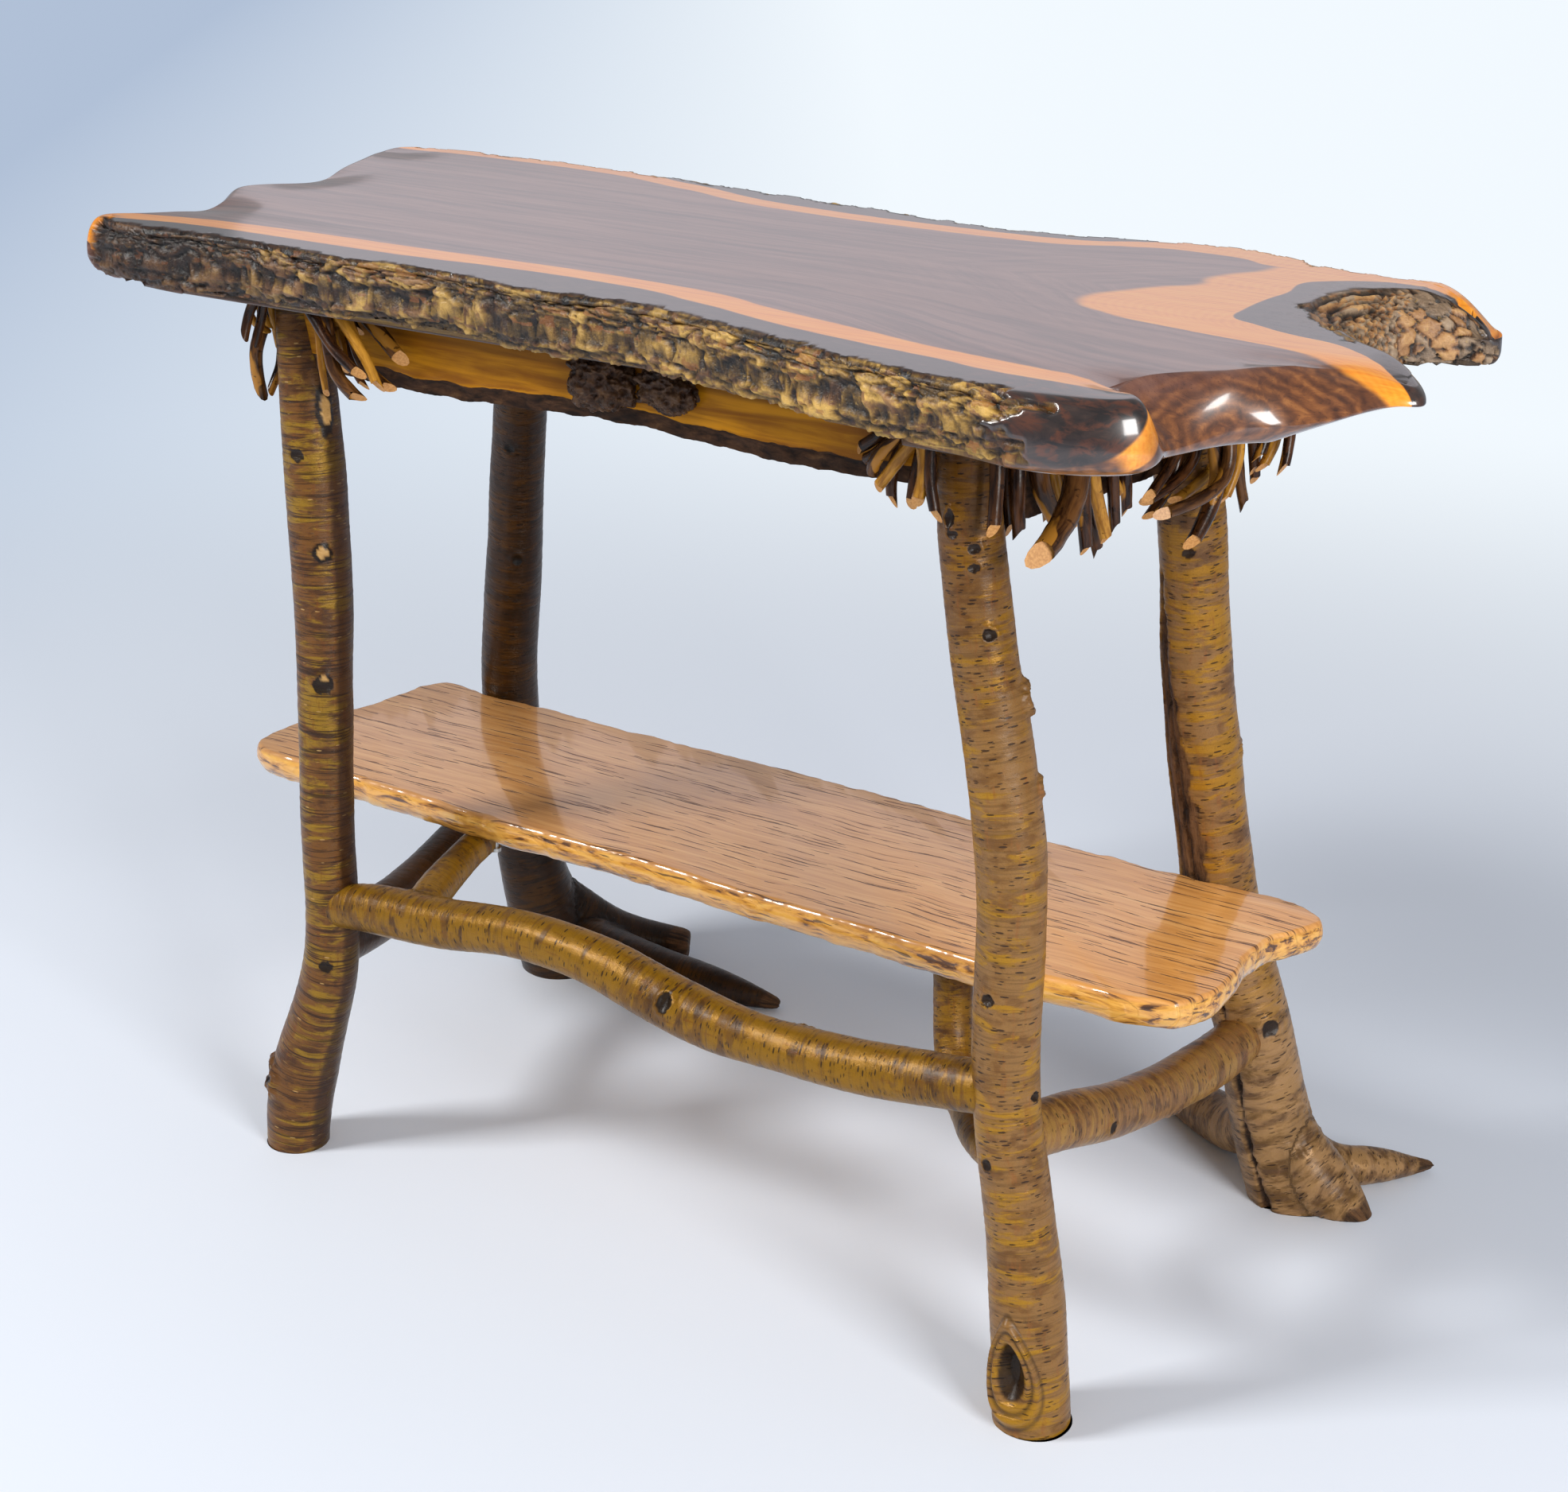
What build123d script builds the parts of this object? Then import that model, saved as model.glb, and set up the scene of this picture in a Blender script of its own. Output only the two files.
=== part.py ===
from build123d import *
import os

# Rustic console table: a live-edge crotch slab on four natural limb legs, with aprons,
# branch stretchers, a live-edge shelf and clusters of cut twigs. Millimetres, +Z up,
# X along the slab, Y from the front to the back.

# ---- Driving sizes -----------------------------------------------------------------

TABLE_HEIGHT = 770.0
SLAB_THICKNESS = 48.0
SLAB_LENGTH = 1043.0
SLAB_DEPTH = 462.0
SLAB_LEFT_REACH = 168.0      # slab's left tip beyond the front left leg's top
SLAB_FRONT_REACH = 124.0     # slab's front nose beyond the front right leg's top

FRONT_LEFT_TOP = (-292.0, -134.0)
FRONT_RIGHT_TOP = (296.0, -146.0)
BACK_RIGHT_TOP = (296.0, 135.0)
BACK_LEFT_TOP = (-293.0, 135.0)
FRONT_LEFT_TOP_DIAMETER = 34.0
FRONT_RIGHT_TOP_DIAMETER = 38.0
BACK_RIGHT_TOP_DIAMETER = 46.0
BACK_LEFT_TOP_DIAMETER = 40.0
LEG_TENON_DIAMETER = 24.0
LEG_TENON_LENGTH = 22.0
LEG_CUT_ALLOWANCE = 60.0     # limb left above the shoulder until it is sawn off

PRONG_SLOPE = 76.0           # how far back from its tip the slab's front prong is thinned
PRONG_RISE = 28.0            # how far the prong's underside rises to its tip

SHELF_TOP = 287.0
SHELF_THICKNESS = 24.0
SHELF_LENGTH = 921.0
SHELF_DEPTH = 236.0
SHELF_LEFT_REACH = 174.0     # shelf's left tip beyond the front left leg's top
SHELF_BACK_REACH = 17.0      # shelf's back edge behind the front of the back right leg
SHELF_EASING = 6.0           # how far the shelf's edge is eased at its top and underside

APRON_THICKNESS = 20.0
FRONT_APRON_HEIGHT = 56.0
BACK_APRON_HEIGHT = 58.0
LEFT_APRON_HEIGHT = 58.0
RIGHT_APRON_HEIGHT = 98.0
APRON_LINE_DROP = 30.0       # how far under the slab the aprons meet the axes of the legs
APRON_TENON_THICKNESS = 9.0
APRON_TENON_LENGTH = 30.0    # from the tenon's tip to its root inside the board
APRON_TENON_SHOULDER = 9.0   # apron left above and below its tenon
APRON_TENON_STOP = 7.0       # from the tenon's tip to the axis of the leg

FRONT_BRANCH_LEFT_HEIGHT = 225.0
FRONT_BRANCH_RIGHT_HEIGHT = 249.0
LEFT_BRANCH_FRONT_HEIGHT = 184.0
LEFT_BRANCH_BACK_HEIGHT = 190.0
RIGHT_BRANCH_FRONT_HEIGHT = 213.0
RIGHT_BRANCH_BACK_HEIGHT = 152.0
KNEE_FOOT_HEIGHT = 187.0
FORK_ROOT = 0.17             # where the fork leaves the front branch, as a share of its run
ROUND_TENON_DIAMETER = 19.0
KNEE_TENON_DIAMETER = 14.0
ROUND_TENON_STOP = 6.0       # from the tenon's tip to the axis of the leg
ROUND_TENON_ROOT = 45.0      # from the axis of the leg to the tenon's root in the branch

SCREW_DIAMETER = 4.0
SCREW_HEAD_DIAMETER = 8.0
SCREW_HEAD_HEIGHT = 3.0
SLAB_SCREW_GRIP = 26.0       # apron wood between the screw's head and the slab
SLAB_SCREW_BITE = 24.0       # screw in the slab
SHELF_SCREW_GRIP = 20.0      # branch wood between the screw's head and the shelf
SHELF_SCREW_BITE = 15.0      # screw in the shelf
LEG_SCREW_BITE = 40.0        # screw beyond the front of the back leg, in the shelf's edge
LEG_SCREW_SINK = 8.0         # head of the lag screw below the bark

TENON_CLEARANCE = 0.1
SCREW_CLEARANCE = 0.1
COPE_CLEARANCE = 0.2
SHELF_NOTCH_CLEARANCE = 0.8  # round the back legs, which lean over the shelf's notches
TWIG_CLEARANCE = 0.3
TWIG_SIDES = 6               # facets round a twig

SLAB_UNDERSIDE = TABLE_HEIGHT - SLAB_THICKNESS
SHELF_UNDERSIDE = SHELF_TOP - SHELF_THICKNESS
WIDE = 2000.0                # wider than the table, for the saw cuts

# ---- Natural shapes, sketched by hand ----------------------------------------------

# Legs: (right, back, height, diameter), measured from the centre of the leg's top.
FRONT_LEFT_BENDS = [(8, -3, 640, 44), (16, -9, 520, 47), (16, -15, 390, 44), (15, -21, 264, 43),
                    (13, -25, 170, 45), (-9, -29, 98, 52), (-24, -32, 40, 54), (-29, -35, -30, 50)]
FRONT_RIGHT_BENDS = [(11, -4, 630, 44), (27, -7, 538, 46), (47, -10, 445, 49), (54, -14, 345, 48),
                     (55, -17, 262, 48), (69, -20, 172, 49), (82, -23, 85, 53), (90, -27, 5, 56),
                     (94, -29, -70, 54)]
BACK_RIGHT_BENDS = [(17, 3, 648, 49), (29, 8, 565, 51), (31, 19, 480, 53), (38, 29, 396, 56),
                    (46, 39, 315, 57), (60, 46, 235, 60), (84, 53, 155, 61), (96, 64, 85, 64),
                    (112, 74, 20, 68), (126, 80, -45, 66)]
BACK_LEFT_BENDS = [(-12, 11, 640, 43), (-25, 23, 560, 46), (-40, 32, 480, 48), (-55, 41, 390, 50),
                   (-70, 49, 290, 51), (-70, 56, 200, 54), (-64, 64, 110, 61), (-53, 79, 30, 72),
                   (-44, 96, -45, 76)]

# Root toes, measured in the same way, which the back legs grow and which rest on the floor.
RIGHT_SOLE_TOE = [(98, 62, 92, 40), (128, 72, 36, 54), (156, 76, 10, 46), (180, 80, -10, 22)]
RIGHT_REAR_TOE = [(112, 84, 42, 44), (140, 108, 20, 36), (166, 134, 15, 30), (184, 158, 9, 18),
                  (199, 177, 5, 8)]
RIGHT_STUB_TOE = [(95, 74, 60, 44), (52, 108, 28, 44), (6, 136, 20, 40), (-34, 156, 14, 26)]
LEFT_SOLE_TOE = [(-46, 88, 30, 60), (28, 87, 22, 50), (92, 97, 18, 37), (142, 107, 13, 26),
                 (180, 118, 6, 11)]
LEFT_BACK_TOE = [(-52, 84, 66, 52), (-10, 118, 30, 44), (22, 140, 20, 36), (50, 156, 16, 30)]

# Stretchers between two legs: (share of the run, bow to the right or back, height, diameter).
# The first and last entries lie on the axes of the legs.
FRONT_BRANCH = [(0.0, 0, FRONT_BRANCH_LEFT_HEIGHT, 33), (0.06, 0, 230, 37), (0.19, 0, 238, 40),
                (0.35, 0, 252, 38), (0.47, 0, 248, 41), (0.6, 0, 232, 42), (0.71, 0, 228, 38),
                (0.87, 0, 235, 40), (1.0, 0, FRONT_BRANCH_RIGHT_HEIGHT, 38)]
LEFT_BRANCH = [(0.0, 0, LEFT_BRANCH_FRONT_HEIGHT, 38), (0.16, 0, 180, 45), (0.39, -2, 172, 46),
               (0.7, 0, 178, 44), (1.0, 0, LEFT_BRANCH_BACK_HEIGHT, 38)]
RIGHT_BRANCH = [(0.0, 0, RIGHT_BRANCH_FRONT_HEIGHT, 36), (0.13, 5, 204, 40), (0.35, 6, 180, 40),
                (0.59, 4, 160, 40), (0.78, 2, 153, 41), (1.0, 0, RIGHT_BRANCH_BACK_HEIGHT, 36)]

# Fork of the front branch, from its root, and knee brace, from the axis of its leg:
# (right, back, height under the shelf, diameter).
FORK_BENDS = [(-14, 36, 21, 30), (-26, 81, 16, 27), (-35, 126, 12, 27), (-40, 171, 11, 25)]
FORK_ROOT_DIAMETER = 30.0
FORK_SEAT = 2                # the bend in which the shelf's screw stands
KNEE_BENDS = [(-135, 141, -4, 31), (-132, 136, 38, 30), (-120, 120, 77, 29), (-82, 75, 87, 28),
              (-42, 30, 80, 28)]
KNEE_FOOT_DIAMETER = 24.0

# Wavy lower edges of the aprons: (share of the length, edge above the apron's height).
FRONT_WAVE = [(0.0, 2), (0.22, -3), (0.4, 1), (0.58, 3), (0.75, -2), (1.0, 3)]
SIDE_WAVE = [(0.0, -4), (0.3, 2), (0.6, -2), (1.0, 4)]
RIGHT_WAVE = [(0.0, 16), (0.35, 4), (0.7, -4), (1.0, -10)]

# Twigs: (steps along the apron to the twig's top, out from the apron, diameter, its bend, its
# tip). The bend and the tip are (lean along the apron, kick outward, drop) from the top.
FRONT_LEFT_TWIGS = [
    (56, 0, 8, (9, 2, 9), (18, 3, 18)), (45, 0, 6, (22, 3, 49), (33, 5, 58)),
    (73, 0, 12, (22, 3, 13), (46, 6, 31)), (62, 14.5, 8.5, (1, -4, 22), (13, 4, 42)),
    (75, 24.5, 8.5, (20, -1, 21), (41, 5, 47)), (73, 13.1, 10, (13, 3, 39), (44, 6, 51)),
    (43, 13.6, 5, (4, 3, 39), (10, 5, 65)), (55, 30.7, 7, (14, 21, 11), (49, 3, 24)),
    (63, 23.9, 11, (18, 15, 42), (35, 8, 58))]
LEFT_FRONT_TWIGS = [
    (-29, 1.7, 7, (3, 12, 16), (-6, 9, 31)), (-20, 0.6, 7, (-3, 2, 18), (-5, 8, 36)),
    (-14, 13.5, 6, (4, 21, 19), (11, 6, 35)), (-6, 9.2, 7, (-3, 9, 14), (-9, -3, 27)),
    (17, 16.6, 11, (-22, 27, 63), (-14, 8, 76)), (8, 13.1, 7, (-3, -5, 61), (-9, 6, 82)),
    (-13, 5.8, 5, (11, 7, 25), (12, 3, 49))]
FRONT_RIGHT_TWIGS = [
    (32, 8.3, 8, (20, -5, 23), (36, 0, 33)), (21, 3.6, 8, (27, 20, 35), (45, 1, 42)),
    (18, 17.1, 8, (22, 28, 35), (33, 1, 46)), (6, 18.4, 7, (34, -5, 42), (40, 1, 53)),
    (29, 0, 7.5, (21, 3, 53), (16, 5, 65)), (13, 9.8, 7, (13, -2, 49), (7, 10, 59)),
    (11, 28, 8.5, (-2, -11, 31), (-4, 5, 52)), (2, 27.2, 7.5, (-1, 3, 39), (-8, 6, 59))]
RIGHT_FRONT_TWIGS = [
    (-11, 13.6, 9, (-8, 5, 38), (-17, 8, 68)), (22, 0, 8, (1, 2, 53), (-5, 9, 81)),
    (15, 12.2, 9, (-6, 6, 67), (-8, 8, 80)), (31, 3.8, 8, (16, 16, 65), (44, 1, 90)),
    (60, 1.1, 7, (4, 3, 59), (5, 4, 73)), (28, 13.6, 12, (2, 4, 56), (23, 12, 86)),
    (73, 0, 8, (9, 2, 64), (29, 5, 99)), (75, 13.6, 8, (3, 2, 58), (13, 7, 93)),
    (95, 13.6, 9, (18, 3, 74), (31, 8, 115)), (139, 0, 8, (24, 2, 83), (38, 4, 99)),
    (108, 0, 9, (19, 2, 83), (34, 7, 130)), (66, 34.8, 18, (-22, 3, 73), (-89, 16, 80)),
    (73, 26.9, 9, (-1, 5, 77), (-4, 10, 105)), (141, 13.6, 8, (4, 2, 92), (2, 6, 111)),
    (189, 0, 8, (2, 2, 105), (3, 3, 115))]
RIGHT_BACK_TWIGS = [
    (-1, 8.6, 8, (39, 31, 89), (73, 1, 112)), (11, 14.1, 8, (27, 4, 87), (69, 1, 105)),
    (17, 5.7, 8, (10, 7, 111), (45, 1, 126)), (-24, 13.7, 8, (19, 26, 95), (72, 6, 116)),
    (20, 30, 9, (25, 49, 97), (79, 6, 110)), (30, 22.7, 11, (-9, 28, 108), (23, 13, 142)),
    (-34, 13.6, 8, (-3, 2, 101), (-25, 6, 131)), (-11, 26.3, 6, (10, 23, 100), (12, 10, 124)),
    (-12, 32.9, 8, (-29, 6, 93), (-31, 5, 119)), (-30, 27.5, 7, (-11, 4, 60), (-3, 14, 109)),
    (-28, 23.8, 8, (-6, 2, 114), (-5, 11, 136)), (-30, 43.9, 7, (-17, 16, 99), (-4, 4, 106)),
    (-30, 60.9, 6, (-7, 17, 75), (0, 5, 78)), (-30, 53, 7, (-18, 15, 87), (0, 13, 103)),
    (-30, 36, 7, (-20, 15, 96), (-1, 10, 98))]
BACK_RIGHT_TWIGS = [
    (34, 0, 8, (2, 3, 34), (5, 6, 70)), (47, 0, 8, (8, 2, 30), (13, 6, 62)),
    (60, 0, 8, (9, 3, 30), (22, 6, 54)), (73, 0, 8, (16, 2, 22), (30, 5, 44)),
    (38, 13, 7, (3, 5, 30), (10, 12, 58)), (51, 13, 8, (10, 4, 22), (23, 12, 50)),
    (64, 13, 7, (14, 5, 20), (34, 12, 38))]
BACK_LEFT_TWIGS = [
    (33, 0, 8, (4, 2, 30), (3, 6, 66)), (46, 0, 7, (5, 3, 36), (14, 5, 64)),
    (58, 0, 9, (12, 2, 28), (24, 6, 50)), (72, 0, 8, (14, 3, 24), (30, 6, 40)),
    (37, 13, 8, (2, 4, 32), (9, 13, 60)), (50, 13, 7, (9, 5, 26), (22, 11, 46)),
    (63, 13, 8, (16, 4, 18), (33, 12, 34))]
LEFT_BACK_TWIGS = [
    (34, 0, 8, (3, 3, 30), (5, 6, 66)), (47, 0, 8, (5, 2, 34), (14, 6, 60)),
    (60, 0, 7, (12, 3, 24), (23, 5, 48)), (73, 0, 8, (15, 2, 20), (32, 6, 38)),
    (39, 13, 7, (4, 4, 28), (9, 12, 56)), (52, 13, 8, (8, 5, 24), (21, 12, 48)),
    (65, 13, 7, (15, 4, 20), (33, 11, 36))]

# Burls on the front apron: (share of its length, width, height, bulge).
BURLS = {"burl_left": (0.511, 58, 34, 22), "burl_right": (0.604, 48, 32, 18)}

# Slab outline at its widest level, anticlockwise from the front left tip:
# (x, y, inset of the underside, inset of the top).
SLAB_OUTLINE = [(-460, -178, 22, 16), (-424, -207, 14, 10), (-350, -206, 10, 9),
                (-270, -203, 10, 9), (-190, -209, 10, 9), (-95, -204, 10, 9), (-10, -215, 12, 9),
                (65, -210, 10, 9), (145, -224, 12, 9), (225, -243, 12, 9), (300, -260, 12, 9),
                (390, -270, 12, 10), (446, -259, 18, 20), (470, -224, 26, 38),
                (478, -180, 34, 46), (500, -142, 40, 40), (543, -119, 26, 18), (583, -98, 30, 5),
                (566, -66, 16, 6), (522, -22, 12, 7), (496, 22, 6, 12), (486, 62, 4, 16),
                (494, 96, 4, 10), (520, 118, 5, 7), (545, 134, 10, 12), (536, 158, 16, 12),
                (488, 164, 12, 9), (420, 164, 10, 9), (360, 186, 10, 8), (300, 186, 10, 8),
                (215, 165, 10, 7), (130, 155, 9, 7), (50, 166, 9, 7), (-50, 173, 9, 7),
                (-150, 184, 10, 8), (-250, 187, 10, 8), (-345, 192, 12, 9), (-420, 186, 16, 12),
                (-459, 166, 22, 14), (-447, 110, 24, 12), (-424, 50, 22, 10), (-424, 0, 22, 12),
                (-440, -45, 22, 12), (-421, -100, 24, 14), (-420, -140, 26, 16)]

# Shelf outline at its widest level: (x, y).
SHELF_OUTLINE = [(-462, -42), (-405, -56), (-300, -58), (-180, -62), (-60, -60), (80, -66),
                 (180, -67), (280, -70), (370, -62), (425, -48), (440, -12), (436, 40),
                 (438, 90), (455, 136), (438, 152), (395, 158), (330, 156), (220, 155),
                 (140, 160), (40, 163), (-110, 164), (-220, 163), (-315, 165), (-380, 165),
                 (-424, 166), (-438, 130), (-446, 70), (-466, 10)]


# ---- Shared forms ------------------------------------------------------------------

def tangent(points, index):
    """Direction of a hand-drawn route at one of its points."""
    ahead = points[min(index + 1, len(points) - 1)]
    behind = points[max(index - 1, 0)]
    return (ahead - behind).normalized()


def limb(stations, grow=0.0, sides=0):
    """A natural limb lofted through (x, y, z, diameter) stations."""
    points = [Vector(x, y, z) for x, y, z, _ in stations]
    run = (points[-1] - points[0]).normalized()
    side = Vector(0, 1, 0) if abs(run.Z) > 0.7 else Vector(0, 0, 1)
    sections = []
    for index, station in enumerate(stations):
        along = tangent(points, index)
        across = (side - along * side.dot(along)).normalized()
        radius = station[3] / 2 + grow
        outline = RegularPolygon(radius, sides) if sides else Circle(radius)
        sections.append(Plane(origin=points[index], x_dir=across, z_dir=along) * outline)
    return loft(sections, ruled=bool(sides))


def rod(start, end, diameter):
    """A straight round rod between two points."""
    run = end - start
    frame = Plane(origin=start, z_dir=run.normalized())
    return frame * Cylinder(diameter / 2, run.length, align=(Align.CENTER, Align.CENTER, Align.MIN))


def saw_off_below(shape, height):
    """The shape without what lies below a level saw cut."""
    waste = Box(WIDE, WIDE, WIDE, align=(Align.CENTER, Align.CENTER, Align.MAX))
    return largest(shape - Pos(0, 0, height) * waste)


def saw_off_above(shape, height):
    """The shape without what lies above a level saw cut."""
    waste = Box(WIDE, WIDE, WIDE, align=(Align.CENTER, Align.CENTER, Align.MIN))
    return largest(shape - Pos(0, 0, height) * waste)


def largest(shape):
    """The main solid of a cut shape."""
    return max(shape.solids(), key=lambda solid: solid.volume)


def fit_outline(sketch, length, depth, left, front):
    """A sketched outline stretched to a length and depth, with its corner at (left, front)."""
    lowest_x = min(point[0] for point in sketch)
    lowest_y = min(point[1] for point in sketch)
    along = length / (max(point[0] for point in sketch) - lowest_x)
    across = depth / (max(point[1] for point in sketch) - lowest_y)
    return [(left + (point[0] - lowest_x) * along, front + (point[1] - lowest_y) * across)
            for point in sketch]


def inset_ring(outline, insets, height):
    """A closed curve round an outline, each point moved inward by its own inset."""
    ring = []
    for index, (x, y) in enumerate(outline):
        before = outline[index - 1]
        after = outline[(index + 1) % len(outline)]
        edge = Vector(after[0] - before[0], after[1] - before[1]).normalized()
        ring.append(Vector(x - edge.Y * insets[index], y + edge.X * insets[index], height))
    return Face(Wire([Edge.make_spline(ring, periodic=True)]))


# ---- Legs ---------------------------------------------------------------------------

def from_top(top, bends):
    """Bends measured from the centre of a leg's top, as places."""
    return [(top[0] + x, top[1] + y, z, diameter) for x, y, z, diameter in bends]


def leg_line(top, diameter, bends):
    """All stations of a leg, from above its shoulder to below the floor."""
    above = (top[0], top[1], SLAB_UNDERSIDE + LEG_CUT_ALLOWANCE, diameter)
    return [above, (top[0], top[1], SLAB_UNDERSIDE, diameter)] + from_top(top, bends)


LEG_LINES = {
    "front_leg_left": leg_line(FRONT_LEFT_TOP, FRONT_LEFT_TOP_DIAMETER, FRONT_LEFT_BENDS),
    "front_leg_right": leg_line(FRONT_RIGHT_TOP, FRONT_RIGHT_TOP_DIAMETER, FRONT_RIGHT_BENDS),
    "back_leg_right": leg_line(BACK_RIGHT_TOP, BACK_RIGHT_TOP_DIAMETER, BACK_RIGHT_BENDS),
    "back_leg_left": leg_line(BACK_LEFT_TOP, BACK_LEFT_TOP_DIAMETER, BACK_LEFT_BENDS),
}
LEG_TOES = {
    "front_leg_left": [],
    "front_leg_right": [],
    "back_leg_right": [from_top(BACK_RIGHT_TOP, toe)
                       for toe in (RIGHT_SOLE_TOE, RIGHT_REAR_TOE, RIGHT_STUB_TOE)],
    "back_leg_left": [from_top(BACK_LEFT_TOP, toe) for toe in (LEFT_SOLE_TOE, LEFT_BACK_TOE)],
}


def leg_at(name, height):
    """Axis and diameter of a leg at a height, between its stations."""
    line = LEG_LINES[name]
    for upper, lower in zip(line, line[1:]):
        if lower[2] <= height <= upper[2]:
            share = (height - lower[2]) / (upper[2] - lower[2])
            x, y, z, diameter = [low + (high - low) * share for low, high in zip(lower, upper)]
    return Vector(x, y, z), diameter


def leg_form(name):
    """A leg's outer form with its toes, sawn level at the slab and at the floor."""
    form = limb(LEG_LINES[name])
    for toe in LEG_TOES[name]:
        form = form + limb(toe)
    return saw_off_below(saw_off_above(form, SLAB_UNDERSIDE), 0)


def leg_tenon(name, clearance=0.0):
    """Round tenon on a leg's top, let up into the slab."""
    foot = leg_at(name, SLAB_UNDERSIDE)[0]
    length = LEG_TENON_LENGTH + clearance
    return rod(foot, foot + Vector(0, 0, length), LEG_TENON_DIAMETER + 2 * clearance)


# ---- Branches: stretchers, fork and knee --------------------------------------------

def stretcher_line(bends, start_leg, end_leg):
    """Stations of a stretcher between the axes of two legs."""
    start = leg_at(start_leg, bends[0][2])[0]
    end = leg_at(end_leg, bends[-1][2])[0]
    run = end - start
    side = Vector(abs(run.Y), abs(run.X), 0).normalized()
    line = []
    for share, bow, height, diameter in bends:
        place = start + run * share + side * bow
        line.append((place.X, place.Y, height, diameter))
    return line


def branch_tenon(line, diameter, clearance=0.0):
    """Round tenon at a branch's first station, which lies on the axis of its leg."""
    axis = Vector(*line[0][:3])
    inward = (Vector(*line[1][:3]) - axis).normalized()
    tip = axis + inward * (ROUND_TENON_STOP - clearance)
    return rod(tip, axis + inward * ROUND_TENON_ROOT, diameter + 2 * clearance)


def fork_line(front_line):
    """Stations of the fork, from inside the front branch to under the shelf."""
    start = Vector(*front_line[0][:3])
    end = Vector(*front_line[-1][:3])
    root = start + (end - start) * FORK_ROOT
    root_height = FRONT_BRANCH[2][2]
    line = [(root.X, root.Y, root_height, FORK_ROOT_DIAMETER)]
    for right, back, below, diameter in FORK_BENDS:
        line.append((root.X + right, root.Y + back, SHELF_UNDERSIDE - below, diameter))
    return line


def knee_line():
    """Stations of the knee brace, from under the shelf to the axis of its leg."""
    foot = leg_at("front_leg_right", KNEE_FOOT_HEIGHT)[0]
    line = [(foot.X + right, foot.Y + back, SHELF_UNDERSIDE - below, diameter)
            for right, back, below, diameter in KNEE_BENDS]
    return line + [(foot.X, foot.Y, foot.Z, KNEE_FOOT_DIAMETER)]


# ---- Aprons --------------------------------------------------------------------------

APRONS = {
    "front_apron": ("front_leg_left", "front_leg_right", FRONT_APRON_HEIGHT, FRONT_WAVE),
    "right_apron": ("front_leg_right", "back_leg_right", RIGHT_APRON_HEIGHT, RIGHT_WAVE),
    "back_apron": ("back_leg_right", "back_leg_left", BACK_APRON_HEIGHT, FRONT_WAVE),
    "left_apron": ("back_leg_left", "front_leg_left", LEFT_APRON_HEIGHT, SIDE_WAVE),
}


def apron_run(name):
    """Local frame of an apron under the slab, from its first leg to the next, and its length."""
    rise = Vector(0, 0, APRON_LINE_DROP)
    start = leg_at(APRONS[name][0], SLAB_UNDERSIDE - APRON_LINE_DROP)[0] + rise
    end = leg_at(APRONS[name][1], SLAB_UNDERSIDE - APRON_LINE_DROP)[0] + rise
    run = end - start
    return Plane(origin=start, x_dir=run.normalized(), z_dir=(0, 0, 1)), run.length


def apron_board(name):
    """A board with a wavy lower edge, from the axis of one leg to that of the next."""
    height, wave = APRONS[name][2:]
    frame, length = apron_run(name)
    lower = [(share * length, 0, rise - height) for share, rise in wave]
    edge = Spline(lower)
    sides = Polyline(lower[-1], (length, 0, 0), (0, 0, 0), lower[0])
    sheet = make_face(edge + sides)
    return frame * extrude(sheet, amount=APRON_THICKNESS / 2, dir=(0, 1, 0), both=True)


def apron_tenon(name, at_end, clearance=0.0):
    """Flat tenon at one end of an apron."""
    height, wave = APRONS[name][2:]
    frame, length = apron_run(name)
    rise = wave[-1][1] if at_end else wave[0][1]
    tall = height - rise - 2 * APRON_TENON_SHOULDER
    tenon = Box(APRON_TENON_LENGTH + clearance, APRON_TENON_THICKNESS + 2 * clearance,
                tall + 2 * clearance, align=(Align.MIN, Align.CENTER, Align.CENTER))
    tenon = Pos(APRON_TENON_STOP - clearance, 0, -APRON_TENON_SHOULDER - tall / 2) * tenon
    if at_end:
        tenon = Pos(length, 0, 0) * Rot(0, 0, 180) * tenon
    return frame * tenon


# ---- Screws --------------------------------------------------------------------------

def screw(head, tip, clearance=0.0, sink=0.0):
    """A wood screw from the face of its head to its tip, or the hole that it is sunk in."""
    run = (tip - head).normalized()
    shoulder = head + run * SCREW_HEAD_HEIGHT
    shank = rod(shoulder, tip + run * clearance, SCREW_DIAMETER + 2 * clearance)
    return shank + rod(head - run * sink, shoulder, SCREW_HEAD_DIAMETER + 2 * clearance)


def slab_screw_lines():
    """Head and tip of each screw that holds the slab, up through an apron."""
    lines = []
    for name, (_, _, height, _) in APRONS.items():
        frame, length = apron_run(name)
        count = 2 if height in (FRONT_APRON_HEIGHT, BACK_APRON_HEIGHT) else 1
        for number in range(count):
            along = length * (number + 1) / (count + 1)
            head = frame.from_local_coords(Vector(along, 0, -SLAB_SCREW_GRIP))
            tip = frame.from_local_coords(Vector(along, 0, SLAB_SCREW_BITE))
            lines.append((name, head, tip))
    return lines


def shelf_screw_line(place):
    """Head and tip of a screw up through a branch into the shelf."""
    head = Vector(place[0], place[1], SHELF_UNDERSIDE - SHELF_SCREW_GRIP)
    return head, Vector(place[0], place[1], SHELF_UNDERSIDE + SHELF_SCREW_BITE)


def leg_screw_line(name):
    """Head and tip of a lag screw forward through a back leg into the shelf's edge."""
    axis, diameter = leg_at(name, SHELF_TOP - SHELF_THICKNESS / 2)
    head = axis + Vector(0, diameter / 2 - LEG_SCREW_SINK, 0)
    return head, axis - Vector(0, diameter / 2 + LEG_SCREW_BITE, 0)


# ---- Twigs and burls -----------------------------------------------------------------

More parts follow.
